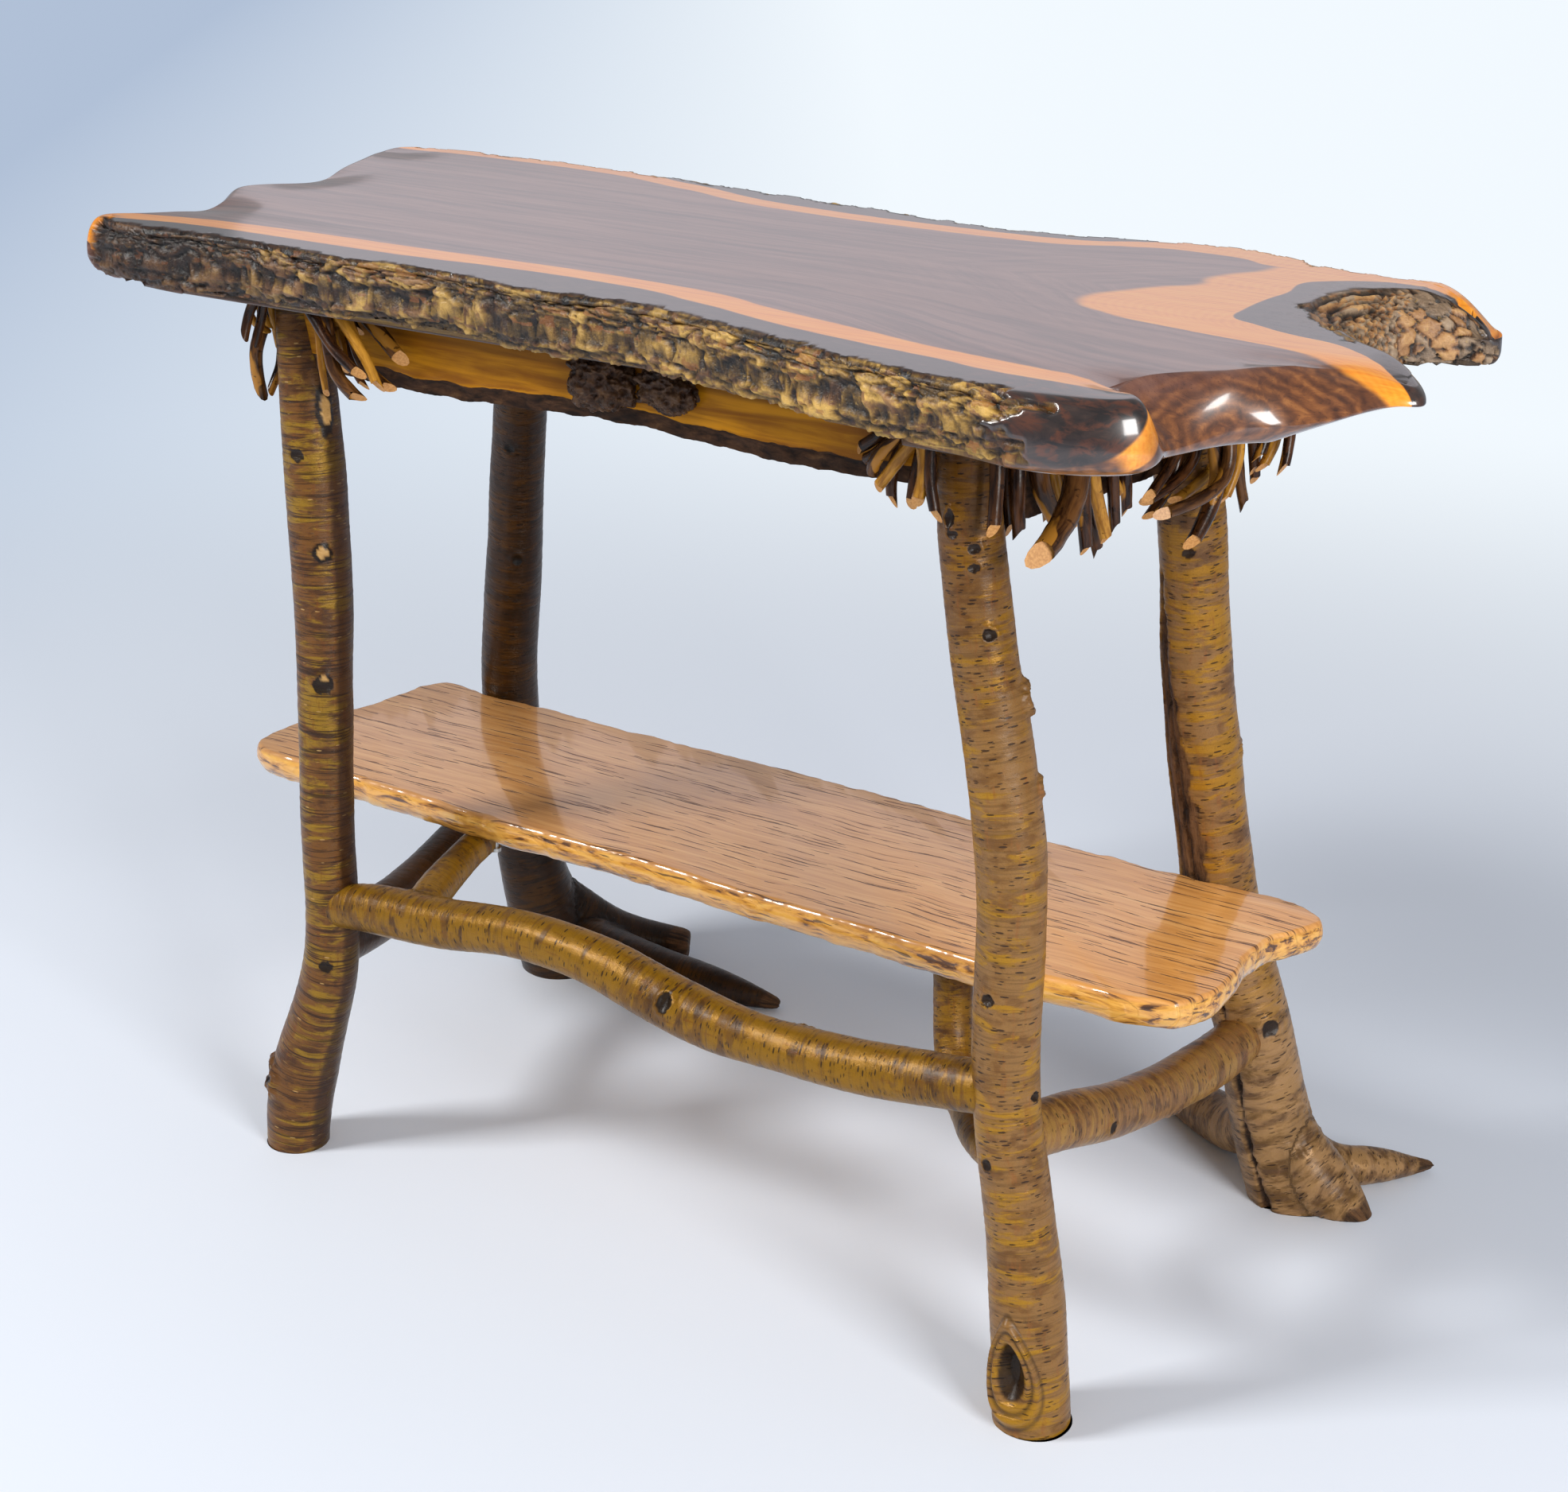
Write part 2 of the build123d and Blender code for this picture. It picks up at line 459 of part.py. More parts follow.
def twig(spec):
    """One cut twig that hangs from under the slab beside an apron, whose axis is X."""
    step, out, diameter, bend, tip = spec
    top = Vector(step, -(APRON_THICKNESS / 2 + TWIG_CLEARANCE + out + diameter / 2), 0)
    bend, tip = [top + Vector(lean, -kick, -drop) for lean, kick, drop in (bend, tip)]
    start = top + (top - bend).normalized() * 1.5 * diameter
    stations = [(start.X, start.Y, start.Z, diameter), (bend.X, bend.Y, bend.Z, 0.97 * diameter),
                (tip.X, tip.Y, tip.Z, 0.88 * diameter)]
    return saw_off_above(limb(stations, sides=TWIG_SIDES), -TWIG_CLEARANCE)


def twig_cluster(apron, at_end, specs):
    """A fan of twigs outside an apron, stepping away from the leg at one of its ends."""
    frame, length = apron_run(apron)
    if at_end:
        specs = [(length - step, out, diameter, (-bend[0], *bend[1:]), (-tip[0], *tip[1:]))
                 for step, out, diameter, bend, tip in specs]
    return [frame * twig(spec) for spec in specs]


def burl(share, width, height, bulge):
    """A rounded burl with its flat back on the front apron."""
    frame, length = apron_run("front_apron")
    back = Vector(share * length, -APRON_THICKNESS / 2, -height / 2 - 1)
    sections = []
    for depth, size in [(0.0, 1.0), (0.4, 0.96), (0.8, 0.72), (1.0, 0.4)]:
        plane = Plane(origin=back - Vector(0, bulge * depth, 0), x_dir=(1, 0, 0), z_dir=(0, -1, 0))
        sections.append(plane * Ellipse(width / 2 * size, height / 2 * size))
    return frame * loft(sections)


# ---- Slab and shelf ------------------------------------------------------------------

def slab_form():
    """The slab with its natural edge: widest a third of the way up, eased above and below."""
    outline = fit_outline(SLAB_OUTLINE, SLAB_LENGTH, SLAB_DEPTH,
                          FRONT_LEFT_TOP[0] - SLAB_LEFT_REACH, FRONT_RIGHT_TOP[1] - SLAB_FRONT_REACH)
    under = [point[2] for point in SLAB_OUTLINE]
    over = [point[3] for point in SLAB_OUTLINE]
    levels = [(0.0, under), (0.36, [0.0] * len(over)), (0.78, [0.3 * inset for inset in over]),
              (1.0, over)]
    form = loft([inset_ring(outline, insets, SLAB_UNDERSIDE + share * SLAB_THICKNESS)
                 for share, insets in levels])
    return largest(form - prong_waste(max(outline)))


def prong_waste(tip):
    """Wood cut away under the front prong, whose tip is the slab's furthest point to the right."""
    reach = tip[0] + SLAB_THICKNESS
    rise = PRONG_RISE * (PRONG_SLOPE + SLAB_THICKNESS) / PRONG_SLOPE
    slope = make_face(Polyline((tip[0] - PRONG_SLOPE, 0, 0), (reach, 0, 0), (reach, 0, rise),
                               (tip[0] - PRONG_SLOPE, 0, 0)))
    wedge = extrude(slope, amount=PRONG_SLOPE, dir=(0, 1, 0), both=True)
    return Pos(0, tip[1], SLAB_UNDERSIDE) * wedge


def shelf_form():
    """The shelf with its eased natural edge."""
    axis, diameter = leg_at("back_leg_right", SHELF_TOP - SHELF_THICKNESS / 2)
    back = axis.Y - diameter / 2 + SHELF_BACK_REACH
    outline = fit_outline(SHELF_OUTLINE, SHELF_LENGTH, SHELF_DEPTH,
                          FRONT_LEFT_TOP[0] - SHELF_LEFT_REACH, back - SHELF_DEPTH)
    eased = [SHELF_EASING] * len(outline)
    full = [0.0] * len(outline)
    levels = [(0.0, eased), (0.5, full), (1.0, eased)]
    return loft([inset_ring(outline, insets, SHELF_UNDERSIDE + share * SHELF_THICKNESS)
                 for share, insets in levels])


# ---- The table -----------------------------------------------------------------------

nodes = {}
mortises = {name: [] for name in LEG_LINES}
copes = {name: limb(LEG_LINES[name], COPE_CLEARANCE) for name in LEG_LINES}

# Stretchers and knee, coped to the legs and tenoned into them.
stretchers = {
    "front_stretcher": (FRONT_BRANCH, "front_leg_left", "front_leg_right"),
    "left_stretcher": (LEFT_BRANCH, "front_leg_left", "back_leg_left"),
    "right_stretcher": (RIGHT_BRANCH, "front_leg_right", "back_leg_right"),
}
for name, (bends, start_leg, end_leg) in stretchers.items():
    line = stretcher_line(bends, start_leg, end_leg)
    body = limb(line)
    if name == "front_stretcher":
        fork = fork_line(line)
        body = body + saw_off_above(limb(fork), SHELF_UNDERSIDE)
    body = largest(body - copes[start_leg] - copes[end_leg])
    for leg, from_leg in ((start_leg, line), (end_leg, line[::-1])):
        body = body + branch_tenon(from_leg, ROUND_TENON_DIAMETER)
        mortises[leg].append(branch_tenon(from_leg, ROUND_TENON_DIAMETER, TENON_CLEARANCE))
    nodes[name] = body

knee = knee_line()
brace = largest(saw_off_above(limb(knee), SHELF_UNDERSIDE) - copes["front_leg_right"])
nodes["knee_brace"] = brace + branch_tenon(knee[::-1], KNEE_TENON_DIAMETER)
mortises["front_leg_right"].append(branch_tenon(knee[::-1], KNEE_TENON_DIAMETER, TENON_CLEARANCE))

# Aprons, coped and tenoned in the same way.
for name, (start_leg, end_leg, _, _) in APRONS.items():
    board = largest(apron_board(name) - copes[start_leg] - copes[end_leg])
    for leg, at_end in ((start_leg, False), (end_leg, True)):
        board = board + apron_tenon(name, at_end)
        mortises[leg].append(apron_tenon(name, at_end, TENON_CLEARANCE))
    nodes[name] = board

# Legs, with their tenons into the slab and the mortises of what they carry.
for name in LEG_LINES:
    leg = leg_form(name) + leg_tenon(name)
    for mortise in mortises[name]:
        leg = leg - mortise
    nodes[name] = leg

# Slab and shelf.
slab = slab_form()
shelf = shelf_form()
for name in LEG_LINES:
    slab = slab - leg_tenon(name, TENON_CLEARANCE)
for name in ("back_leg_left", "back_leg_right"):
    shelf = shelf - limb(LEG_LINES[name], SHELF_NOTCH_CLEARANCE)
nodes["top_slab"] = slab
nodes["shelf"] = largest(shelf)

# Screws and their holes.
slab_screws = []
for name, head, tip in slab_screw_lines():
    slab_screws.append(screw(head, tip))
    nodes[name] = nodes[name] - screw(head, tip, SCREW_CLEARANCE, APRONS[name][2])
    nodes["top_slab"] = nodes["top_slab"] - screw(head, tip, SCREW_CLEARANCE)
nodes["slab_screws"] = Compound(slab_screws)

shelf_screws = []
for name, place in (("front_stretcher", fork[1 + FORK_SEAT]), ("knee_brace", knee[0])):
    head, tip = shelf_screw_line(place)
    shelf_screws.append(screw(head, tip))
    nodes[name] = nodes[name] - screw(head, tip, SCREW_CLEARANCE, SHELF_UNDERSIDE)
    nodes["shelf"] = nodes["shelf"] - screw(head, tip, SCREW_CLEARANCE)
for name in ("back_leg_left", "back_leg_right"):
    head, tip = leg_screw_line(name)
    shelf_screws.append(screw(head, tip))
    nodes[name] = nodes[name] - screw(head, tip, SCREW_CLEARANCE, 2 * LEG_SCREW_SINK)
    nodes["shelf"] = nodes["shelf"] - screw(head, tip, SCREW_CLEARANCE)
nodes["shelf_screws"] = Compound(shelf_screws)

# Burls and twigs.
for name, (share, width, height, bulge) in BURLS.items():
    nodes[name] = burl(share, width, height, bulge)

twig_places = {
    "twigs_front_left": ("front_apron", False, FRONT_LEFT_TWIGS),
    "twigs_front_right": ("front_apron", True, FRONT_RIGHT_TWIGS),
    "twigs_right_front": ("right_apron", False, RIGHT_FRONT_TWIGS),
    "twigs_right_back": ("right_apron", True, RIGHT_BACK_TWIGS),
    "twigs_back_right": ("back_apron", False, BACK_RIGHT_TWIGS),
    "twigs_back_left": ("back_apron", True, BACK_LEFT_TWIGS),
    "twigs_left_back": ("left_apron", False, LEFT_BACK_TWIGS),
    "twigs_left_front": ("left_apron", True, LEFT_FRONT_TWIGS),
}
for name, (apron, at_end, specs) in twig_places.items():
    nodes[name] = Compound(twig_cluster(apron, at_end, specs))

# The origin is on the floor, under the middle of the whole table.
whole = Compound([solid for node in nodes.values() for solid in node.solids()]).bounding_box()
middle = whole.center()
os.makedirs("parts", exist_ok=True)
for name, node in nodes.items():
    export_step(Pos(-middle.X, -middle.Y, 0) * Compound(node.solids()), f"parts/{name}.step")
print(f"middle {middle.X:.2f} {middle.Y:.2f}, size {whole.size.X:.1f} {whole.size.Y:.1f} {whole.size.Z:.1f}")
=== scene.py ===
import math

import bpy
import numpy as np
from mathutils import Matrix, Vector, noise


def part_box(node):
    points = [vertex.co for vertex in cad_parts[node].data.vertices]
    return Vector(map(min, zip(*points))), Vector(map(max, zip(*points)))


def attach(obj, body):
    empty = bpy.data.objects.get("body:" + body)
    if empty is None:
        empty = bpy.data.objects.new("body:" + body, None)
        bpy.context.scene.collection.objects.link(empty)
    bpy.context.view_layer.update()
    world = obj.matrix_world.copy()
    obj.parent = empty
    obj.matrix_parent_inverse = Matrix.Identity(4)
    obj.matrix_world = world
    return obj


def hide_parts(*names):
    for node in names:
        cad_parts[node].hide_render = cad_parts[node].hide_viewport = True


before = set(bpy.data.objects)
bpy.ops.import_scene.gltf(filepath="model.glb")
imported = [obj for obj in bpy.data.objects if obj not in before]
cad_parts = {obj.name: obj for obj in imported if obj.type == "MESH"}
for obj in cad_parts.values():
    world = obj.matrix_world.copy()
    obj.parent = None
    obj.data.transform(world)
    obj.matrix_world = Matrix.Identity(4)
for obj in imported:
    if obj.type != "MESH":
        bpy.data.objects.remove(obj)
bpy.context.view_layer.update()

bpy.ops.object.select_all(action="DESELECT")

# ---- Studio --------------------------------------------------------------------------
# A pale floor without a horizon, broad soft lamps and a camera a little above the top. The
# floor's paper is the first of the procedural finishes, so their two classes stand here.

LEG_CENTRE = Vector((-0.05573, -0.02217, 0.0))   # middle of the four leg tops, in metres
BACK_TO_CENTRE = (55.73, 22.17, 0)               # the same step back, in millimetres
FLOOR_COLOUR = (0.80, 0.86, 0.96)
BACKDROP_COLOUR = (0.84, 0.90, 1.0)

studio = bpy.context.scene
studio.view_settings.view_transform = "Standard"
camera_data = bpy.data.cameras.new("camera")
camera_data.sensor_width = 36.0
camera_data.lens = 65.1
camera = bpy.data.objects.new("camera", camera_data)
camera.location = LEG_CENTRE + Vector((1.18167, -1.68411, 1.19533))
camera.rotation_euler = (math.radians(90 - 21.834), 0, math.radians(33.685))
studio.collection.objects.link(camera)
studio.camera = camera


def soft_lamp(name, place, target, size, watts, tint):
    """A square soft box that faces a target."""
    data = bpy.data.lights.new(name, "AREA")
    data.shape = "RECTANGLE"
    data.size, data.size_y = size
    data.energy = watts
    data.color = tint
    lamp = bpy.data.objects.new(name, data)
    lamp.location = place
    lamp.rotation_euler = (Vector(target) - Vector(place)).to_track_quat("-Z", "Y").to_euler()
    studio.collection.objects.link(lamp)


soft_lamp("key_box", (-1.9, -2.1, 2.7), (0, 0, 0.4), (0.8, 0.8), 90, (1.0, 0.98, 0.95))
soft_lamp("fill_box", (2.9, -1.5, 1.6), (0, 0, 0.4), (1.2, 1.2), 82, (1.0, 0.98, 0.96))
soft_lamp("back_box", (-1.25, 2.85, 2.0), (0, 0, 0.75), (3.4, 1.5), 7.2, (1.0, 0.90, 0.98))

world = bpy.data.worlds.new("studio_air")
studio.world = world
world.use_nodes = True
air = world.node_tree
air.nodes["Background"].inputs["Color"].default_value = (0.92, 0.95, 1.0, 1)
air.nodes["Background"].inputs["Strength"].default_value = 0.32
seen_air = air.nodes.new("ShaderNodeBackground")
seen_air.inputs["Color"].default_value = (*BACKDROP_COLOUR, 1)
rays = air.nodes.new("ShaderNodeLightPath")
which_air = air.nodes.new("ShaderNodeMixShader")
air.links.new(rays.outputs["Is Camera Ray"], which_air.inputs[0])
air.links.new(air.nodes["Background"].outputs[0], which_air.inputs[1])
air.links.new(seen_air.outputs[0], which_air.inputs[2])
air.links.new(which_air.outputs[0], air.nodes["World Output"].inputs["Surface"])


class Field:
    """A shader number or colour that Python's own signs can work on."""

    def __init__(self, finish, socket):
        self.finish, self.socket = finish, socket

    def __add__(self, other):
        return self.finish.maths("ADD", self, other)

    __radd__ = __add__

    def __sub__(self, other):
        return self.finish.maths("SUBTRACT", self, other)

    def __rsub__(self, other):
        return self.finish.maths("SUBTRACT", other, self)

    def __mul__(self, other):
        return self.finish.maths("MULTIPLY", self, other)

    __rmul__ = __mul__

    def __truediv__(self, other):
        return self.finish.maths("DIVIDE", self, other)

    def __abs__(self):
        return self.finish.maths("ABSOLUTE", self)

    def least(self, other):
        """The smaller of the two."""
        return self.finish.maths("MINIMUM", self, other)

    def most(self, other):
        """The larger of the two."""
        return self.finish.maths("MAXIMUM", self, other)

    def fade(self, start, end):
        """0 before start, 1 after end, and smooth between them."""
        return self.finish.node("ShaderNodeMapRange", {"interpolation_type": "SMOOTHSTEP"},
                                {"Value": self, "From Min": start, "From Max": end})

    def also(self, out):
        """Another output of the same node."""
        return Field(self.finish, self.socket.node.outputs[out])


class Finish:
    """A procedural finish: a material, its surface shader and the nodes that feed it."""

    def __init__(self, name, roughness=0.4, coat=0.0, coat_roughness=0.1, gloss=0.5):
        self.material = bpy.data.materials.new(name)
        self.material.use_nodes = True
        self.tree = self.material.node_tree
        self.surface = self.tree.nodes["Principled BSDF"]
        for socket, value in (("Roughness", roughness), ("Coat Weight", coat),
                              ("Coat Roughness", coat_roughness), ("Specular IOR Level", gloss)):
            self.surface.inputs[socket].default_value = value

    def node(self, kind, settings=None, values=None, out=0):
        """Adds a node with its settings and its sockets' values or links."""
        made = self.tree.nodes.new(kind)
        for setting, value in (settings or {}).items():
            setattr(made, setting, value)
        for socket, value in (values or {}).items():
            self.feed(made.inputs[socket], value)
        return Field(self, made.outputs[out])

    def feed(self, socket, value):
        """Links a field to a socket or sets its value."""
        if isinstance(value, Field):
            self.tree.links.new(value.socket, socket)
        elif isinstance(value, tuple) and len(value) == 3 and socket.type == "RGBA":
            socket.default_value = (*value, 1)
        else:
            socket.default_value = value

    def maths(self, operation, *values):
        """A sum on numbers."""
        return self.node("ShaderNodeMath", {"operation": operation}, dict(enumerate(values)))

    def vector_maths(self, operation, *vectors):
        """A sum on vectors that gives one number."""
        return self.node("ShaderNodeVectorMath", {"operation": operation}, dict(enumerate(vectors)), "Value")

    def vector(self, x, y, z=0.0):
        """A vector from its three numbers."""
        return self.node("ShaderNodeCombineXYZ", None, {0: x, 1: y, 2: z})

    def place(self):
        """The place on the object, in metres."""
        return self.node("ShaderNodeTexCoord", out="Object")

    def table_place(self):
        """The place in millimetres from the floor under the middle of the leg tops."""
        return self.stretch(self.place(), (1000, 1000, 1000), BACK_TO_CENTRE)

    def kept(self, name):
        """A vector kept on the mesh."""
        return self.node("ShaderNodeAttribute", {"attribute_name": name}, out="Vector")

    def parts(self, vector):
        """The three numbers of a vector."""
        first = self.node("ShaderNodeSeparateXYZ", None, {0: vector})
        return [first.also(axis) for axis in range(3)]

    def stretch(self, vector, scale, shift=(0, 0, 0)):
        """A vector scaled along each axis, and then moved."""
        return self.node("ShaderNodeMapping", None, {"Vector": vector, "Scale": scale, "Location": shift})

    def cloud(self, vector, scale, detail=2.0, rough=0.5, warp=0.0):
        """Noise of one size in all directions."""
        return self.node("ShaderNodeTexNoise", None, {"Vector": vector, "Scale": scale, "Detail": detail,
                                                      "Roughness": rough, "Distortion": warp})

    def grain(self, vector, scale, detail=2.0, rough=0.5, warp=0.0, shift=(0, 0, 0)):
        """Noise with its own size along each axis."""
        return self.cloud(self.stretch(vector, scale, shift), 1.0, detail, rough, warp)

    def cells(self, vector, scale=1.0, random=1.0):
        """Distance to the nearest of scattered points."""
        return self.node("ShaderNodeTexVoronoi", {"feature": "F1"},
                         {"Vector": vector, "Scale": scale, "Randomness": random}, "Distance")

    def blend(self, factor, first, second, way="MIX"):
        """The first colour at factor 0 and the second at 1, or another way to mix them."""
        made = self.tree.nodes.new("ShaderNodeMix")
        made.data_type = "RGBA"
        made.blend_type = way
        for number, value in ((0, factor), (6, first), (7, second)):
            self.feed(made.inputs[number], value)
        return Field(self, made.outputs[2])

    def tones(self, value, *stops):
        """A colour ramp through (place, colour) stops."""
        ramp = self.tree.nodes.new("ShaderNodeValToRGB")
        while len(ramp.color_ramp.elements) < len(stops):
            ramp.color_ramp.elements.new(0.5)
        for element, (place, colour) in zip(ramp.color_ramp.elements, stops):
            element.position = place
            element.color = (*colour, 1)
        self.feed(ramp.inputs[0], value)
        return Field(self, ramp.outputs[0])

    def bumps(self, height, distance, strength):
        """A raised surface, told by the way its normals lean."""
        return self.node("ShaderNodeBump", None,
                         {"Height": height, "Distance": distance, "Strength": strength})

    def wear(self, **inputs):
        """Feeds the surface's sockets, named with _ for a space."""
        for socket, value in inputs.items():
            self.feed(self.surface.inputs[socket.replace("_", " ")], value)
        return self.material


bpy.ops.mesh.primitive_plane_add(size=40, location=(0, 0, 0))
floor = bpy.context.object
floor.name = "studio_floor"
paper = Finish("floor_paper", roughness=0.8)
floor.data.materials.append(paper.wear(Base_Color=FLOOR_COLOUR))
# far from the table the paper glows on its own, with painted light that is darker to the left and paler to
# the right
spot = paper.place()
to_right = paper.vector_maths("DOT_PRODUCT", spot, (0.832, 0.555, 0))
to_right = paper.node("ShaderNodeMapRange", None, {"Value": to_right, "From Min": -2.4, "From Max": 2.4})
painted_falloff_tone = paper.tones(to_right, (0.12, (0.44, 0.53, 0.68)), (0.55, (0.89, 0.95, 1.0)))
glowing_far_paper = paper.node("ShaderNodeEmission", None, {"Color": painted_falloff_tone})
seen_far = paper.vector_maths("LENGTH", spot).fade(0.75, 2.6)
seen_far = seen_far * paper.node("ShaderNodeLightPath", out="Is Camera Ray")
sweep = paper.node("ShaderNodeMixShader", None, {0: seen_far, 1: Field(paper, paper.surface.outputs[0]),
                                                 2: glowing_far_paper})
paper.feed(paper.tree.nodes["Material Output"].inputs["Surface"], sweep)
bpy.ops.object.select_all(action="DESELECT")


# ---- Legs ----------------------------------------------------------------------------
# Four natural limbs with their golden-brown bark left on, varnished. Rings and short dark
# pores run round them, and knots, scars and splits mark where twigs grew. The back pair keep
# their root toes, which rest on the floor.

MM = 0.001
BARK_GIRTH = 0.025           # radius at which bark patterns are laid out
SLAB_UNDERSIDE = 722.0
TOE_VOXEL = 0.0024           # how finely the toes are melted into the leg
LEG_TOPS = {"front_leg_left": (-292, -134), "front_leg_right": (296, -146),
            "back_leg_right": (296, 135), "back_leg_left": (-293, 135)}
# (right, back, height, diameter), measured from the centre of the leg's top
LEG_BENDS = {
    "front_leg_left": [(0, 0, 722, 34), (8, -3, 640, 44), (16, -9, 520, 47), (16, -15, 390, 44),
                       (15, -21, 264, 43), (13, -25, 170, 45), (-9, -29, 98, 52),
                       (-24, -32, 40, 54), (-29, -35, -30, 50)],
    "front_leg_right": [(0, 0, 722, 38), (11, -4, 630, 44), (27, -7, 538, 46), (47, -10, 445, 49),
                        (54, -14, 345, 48), (55, -17, 262, 48), (69, -20, 172, 49),
                        (82, -23, 85, 53), (90, -27, 5, 56), (94, -29, -70, 54)],
    "back_leg_right": [(0, 0, 722, 46), (17, 3, 648, 49), (29, 8, 565, 51), (31, 19, 480, 53),
                       (38, 29, 396, 56), (46, 39, 315, 57), (60, 46, 235, 60), (84, 53, 155, 61),
                       (96, 64, 85, 64), (112, 74, 20, 68), (126, 80, -45, 66)],
    "back_leg_left": [(0, 0, 722, 40), (-12, 11, 640, 43), (-25, 23, 560, 46), (-40, 32, 480, 48),
                      (-55, 41, 390, 50), (-70, 49, 290, 51), (-70, 56, 200, 54),
                      (-64, 64, 110, 61), (-53, 79, 30, 72), (-44, 96, -45, 76)],
}
LEG_TOES = {
    "back_leg_right": [
        [(98, 62, 92, 40), (128, 72, 36, 54), (156, 76, 10, 46), (180, 80, -10, 22)],
        [(112, 84, 42, 44), (140, 108, 20, 36), (166, 134, 15, 30), (184, 158, 9, 18),
         (199, 177, 5, 8)],
        [(95, 74, 60, 44), (52, 108, 28, 44), (6, 136, 20, 40), (-34, 156, 14, 26)]],
    "back_leg_left": [
        [(-46, 88, 30, 60), (28, 87, 22, 50), (92, 97, 18, 37), (142, 107, 13, 26),
         (180, 118, 6, 11)],
        [(-52, 84, 66, 52), (-10, 118, 30, 44), (22, 140, 20, 36), (50, 156, 16, 30)]],
}


def table_place(x, y, z):
    """A place measured in millimetres from the floor under the middle of the leg tops."""
    return LEG_CENTRE + Vector((x, y, z)) * MM


def placed(rows):
    """Rows in millimetres from the middle of the leg tops, as places in the frame."""
    return rows * MM + np.array(LEG_CENTRE)


def rows_of(x, y=0.0, z=0.0):
    """Rows made from columns, each of which may also be one number."""
    return np.stack(np.broadcast_arrays(x, y, z), axis=1)


def bell(value, middle, width):
    """1 at the middle, and fading out on both sides."""
    return np.exp(-((value - middle) / width) ** 2)


def leg_stations(leg_name, rows, wider=0.0):
    """A leg's rows moved to the place of its top."""
    x, y = LEG_TOPS[leg_name]
    return [(x + right, y + back, z, diameter + wider) for right, back, z, diameter in rows]


def spline_through(values, knots, wanted):
    """Natural cubic spline through rows of values, read at the wanted distances."""
    count = len(knots)
    gaps = np.diff(knots)
    rises = np.diff(values, axis=0) / gaps[:, None]
    system = np.zeros((count, count))
    right = np.zeros((count, values.shape[1]))
    system[0, 0] = system[-1, -1] = 1.0
    for row in range(1, count - 1):
        system[row, row - 1:row + 2] = gaps[row - 1], 2 * (gaps[row - 1] + gaps[row]), gaps[row]
        right[row] = 6 * (rises[row] - rises[row - 1])
    bends = np.linalg.solve(system, right)
    span = np.clip(np.searchsorted(knots, wanted, side="right") - 1, 0, count - 2)
    gap = gaps[span][:, None]
    low = ((knots[span + 1] - wanted)[:, None]) / gap
    high = 1 - low
    return (low * values[span] + high * values[span + 1]
            + ((low ** 3 - low) * bends[span] + (high ** 3 - high) * bends[span + 1]) * gap ** 2 / 6)


class Route:
    """The smooth axis of a limb: places, radii, directions and two cross directions."""

    def __init__(self, stations, spacing=0.0025, up=(1, 0, 0)):
        rows = np.array([[*table_place(x, y, z), diameter * MM / 2]
                         for x, y, z, diameter in stations])
        steps = np.linalg.norm(np.diff(rows[:, :3], axis=0), axis=1)
        knots = np.concatenate([[0.0], np.cumsum(steps)])
        self.length = knots[-1]
        self.along = np.linspace(0, self.length, max(8, int(self.length / spacing)))
        smooth = spline_through(rows, knots, self.along)
        self.places, self.radii = smooth[:, :3], smooth[:, 3]
        ways = np.gradient(self.places, axis=0)
        self.ways = ways / np.linalg.norm(ways, axis=1)[:, None]
        across = np.array(up) - self.ways * (self.ways @ np.array(up))[:, None]
        self.across = across / np.linalg.norm(across, axis=1)[:, None]
        self.beside = np.cross(self.across, self.ways)

    def at(self, distance):
        """Share of each ring at a distance along the axis, as interpolated rows."""
        return [np.array([np.interp(distance, self.along, column) for column in block.T]).T
                for block in (self.places, self.across, self.beside)] + [
                    np.interp(distance, self.along, self.radii)]


def pick(piece):
    """Selects one piece alone and makes it active."""
    bpy.ops.object.select_all(action="DESELECT")
    piece.select_set(True)
    bpy.context.view_layer.objects.active = piece


def cut_into_rings(piece, cuts):
    """Cuts the edges that run along an upright mesh, so that rings lie across it."""
    bpy.ops.object.mode_set(mode="EDIT")
    bpy.ops.mesh.select_mode(type="EDGE")
    bpy.ops.mesh.select_all(action="DESELECT")
    bpy.ops.object.mode_set(mode="OBJECT")
    ends = np.empty(len(piece.data.edges) * 2, int)
    piece.data.edges.foreach_get("vertices", ends)
    rise = np.ptp(corners(piece)[ends.reshape(-1, 2), 2], axis=1)
    piece.data.edges.foreach_set("select", rise > 0.01)
    bpy.ops.object.mode_set(mode="EDIT")
    bpy.ops.mesh.subdivide(number_cuts=cuts)
    bpy.ops.mesh.select_all(action="DESELECT")
    bpy.ops.object.mode_set(mode="OBJECT")


def bent_limb(name, route, around, spacing=0.0025):
    """A straight cylinder, cut into rings and bent along a route."""
    bpy.ops.object.select_all(action="DESELECT")
    bpy.ops.mesh.primitive_cylinder_add(vertices=around, radius=1, depth=1, end_fill_type="NGON")
    limb = bpy.context.object
    limb.name = name
    # two rounds of cuts, because one round makes no more than a hundred
    cut_into_rings(limb, 7)
    cut_into_rings(limb, max(2, round(route.length / spacing / 8)) - 1)
    spots = corners(limb)
    turn = np.arctan2(spots[:, 1], spots[:, 0])
    centres, across, beside, radii = route.at((0.5 - spots[:, 2]) * route.length)
    reach = radii[:, None] * (np.cos(turn)[:, None] * across + np.sin(turn)[:, None] * beside)
    set_corners(limb, centres + reach)
    face_outwards(limb)
    return limb


def corners(piece):
    """The mesh's corner places, one row each."""
    flat = np.empty(len(piece.data.vertices) * 3)
    piece.data.vertices.foreach_get("co", flat)
    return flat.reshape(-1, 3)


def set_corners(piece, spots):
    """Moves the mesh's corners to new places."""
    piece.data.vertices.foreach_set("co", np.ascontiguousarray(spots).ravel())
    piece.data.update()


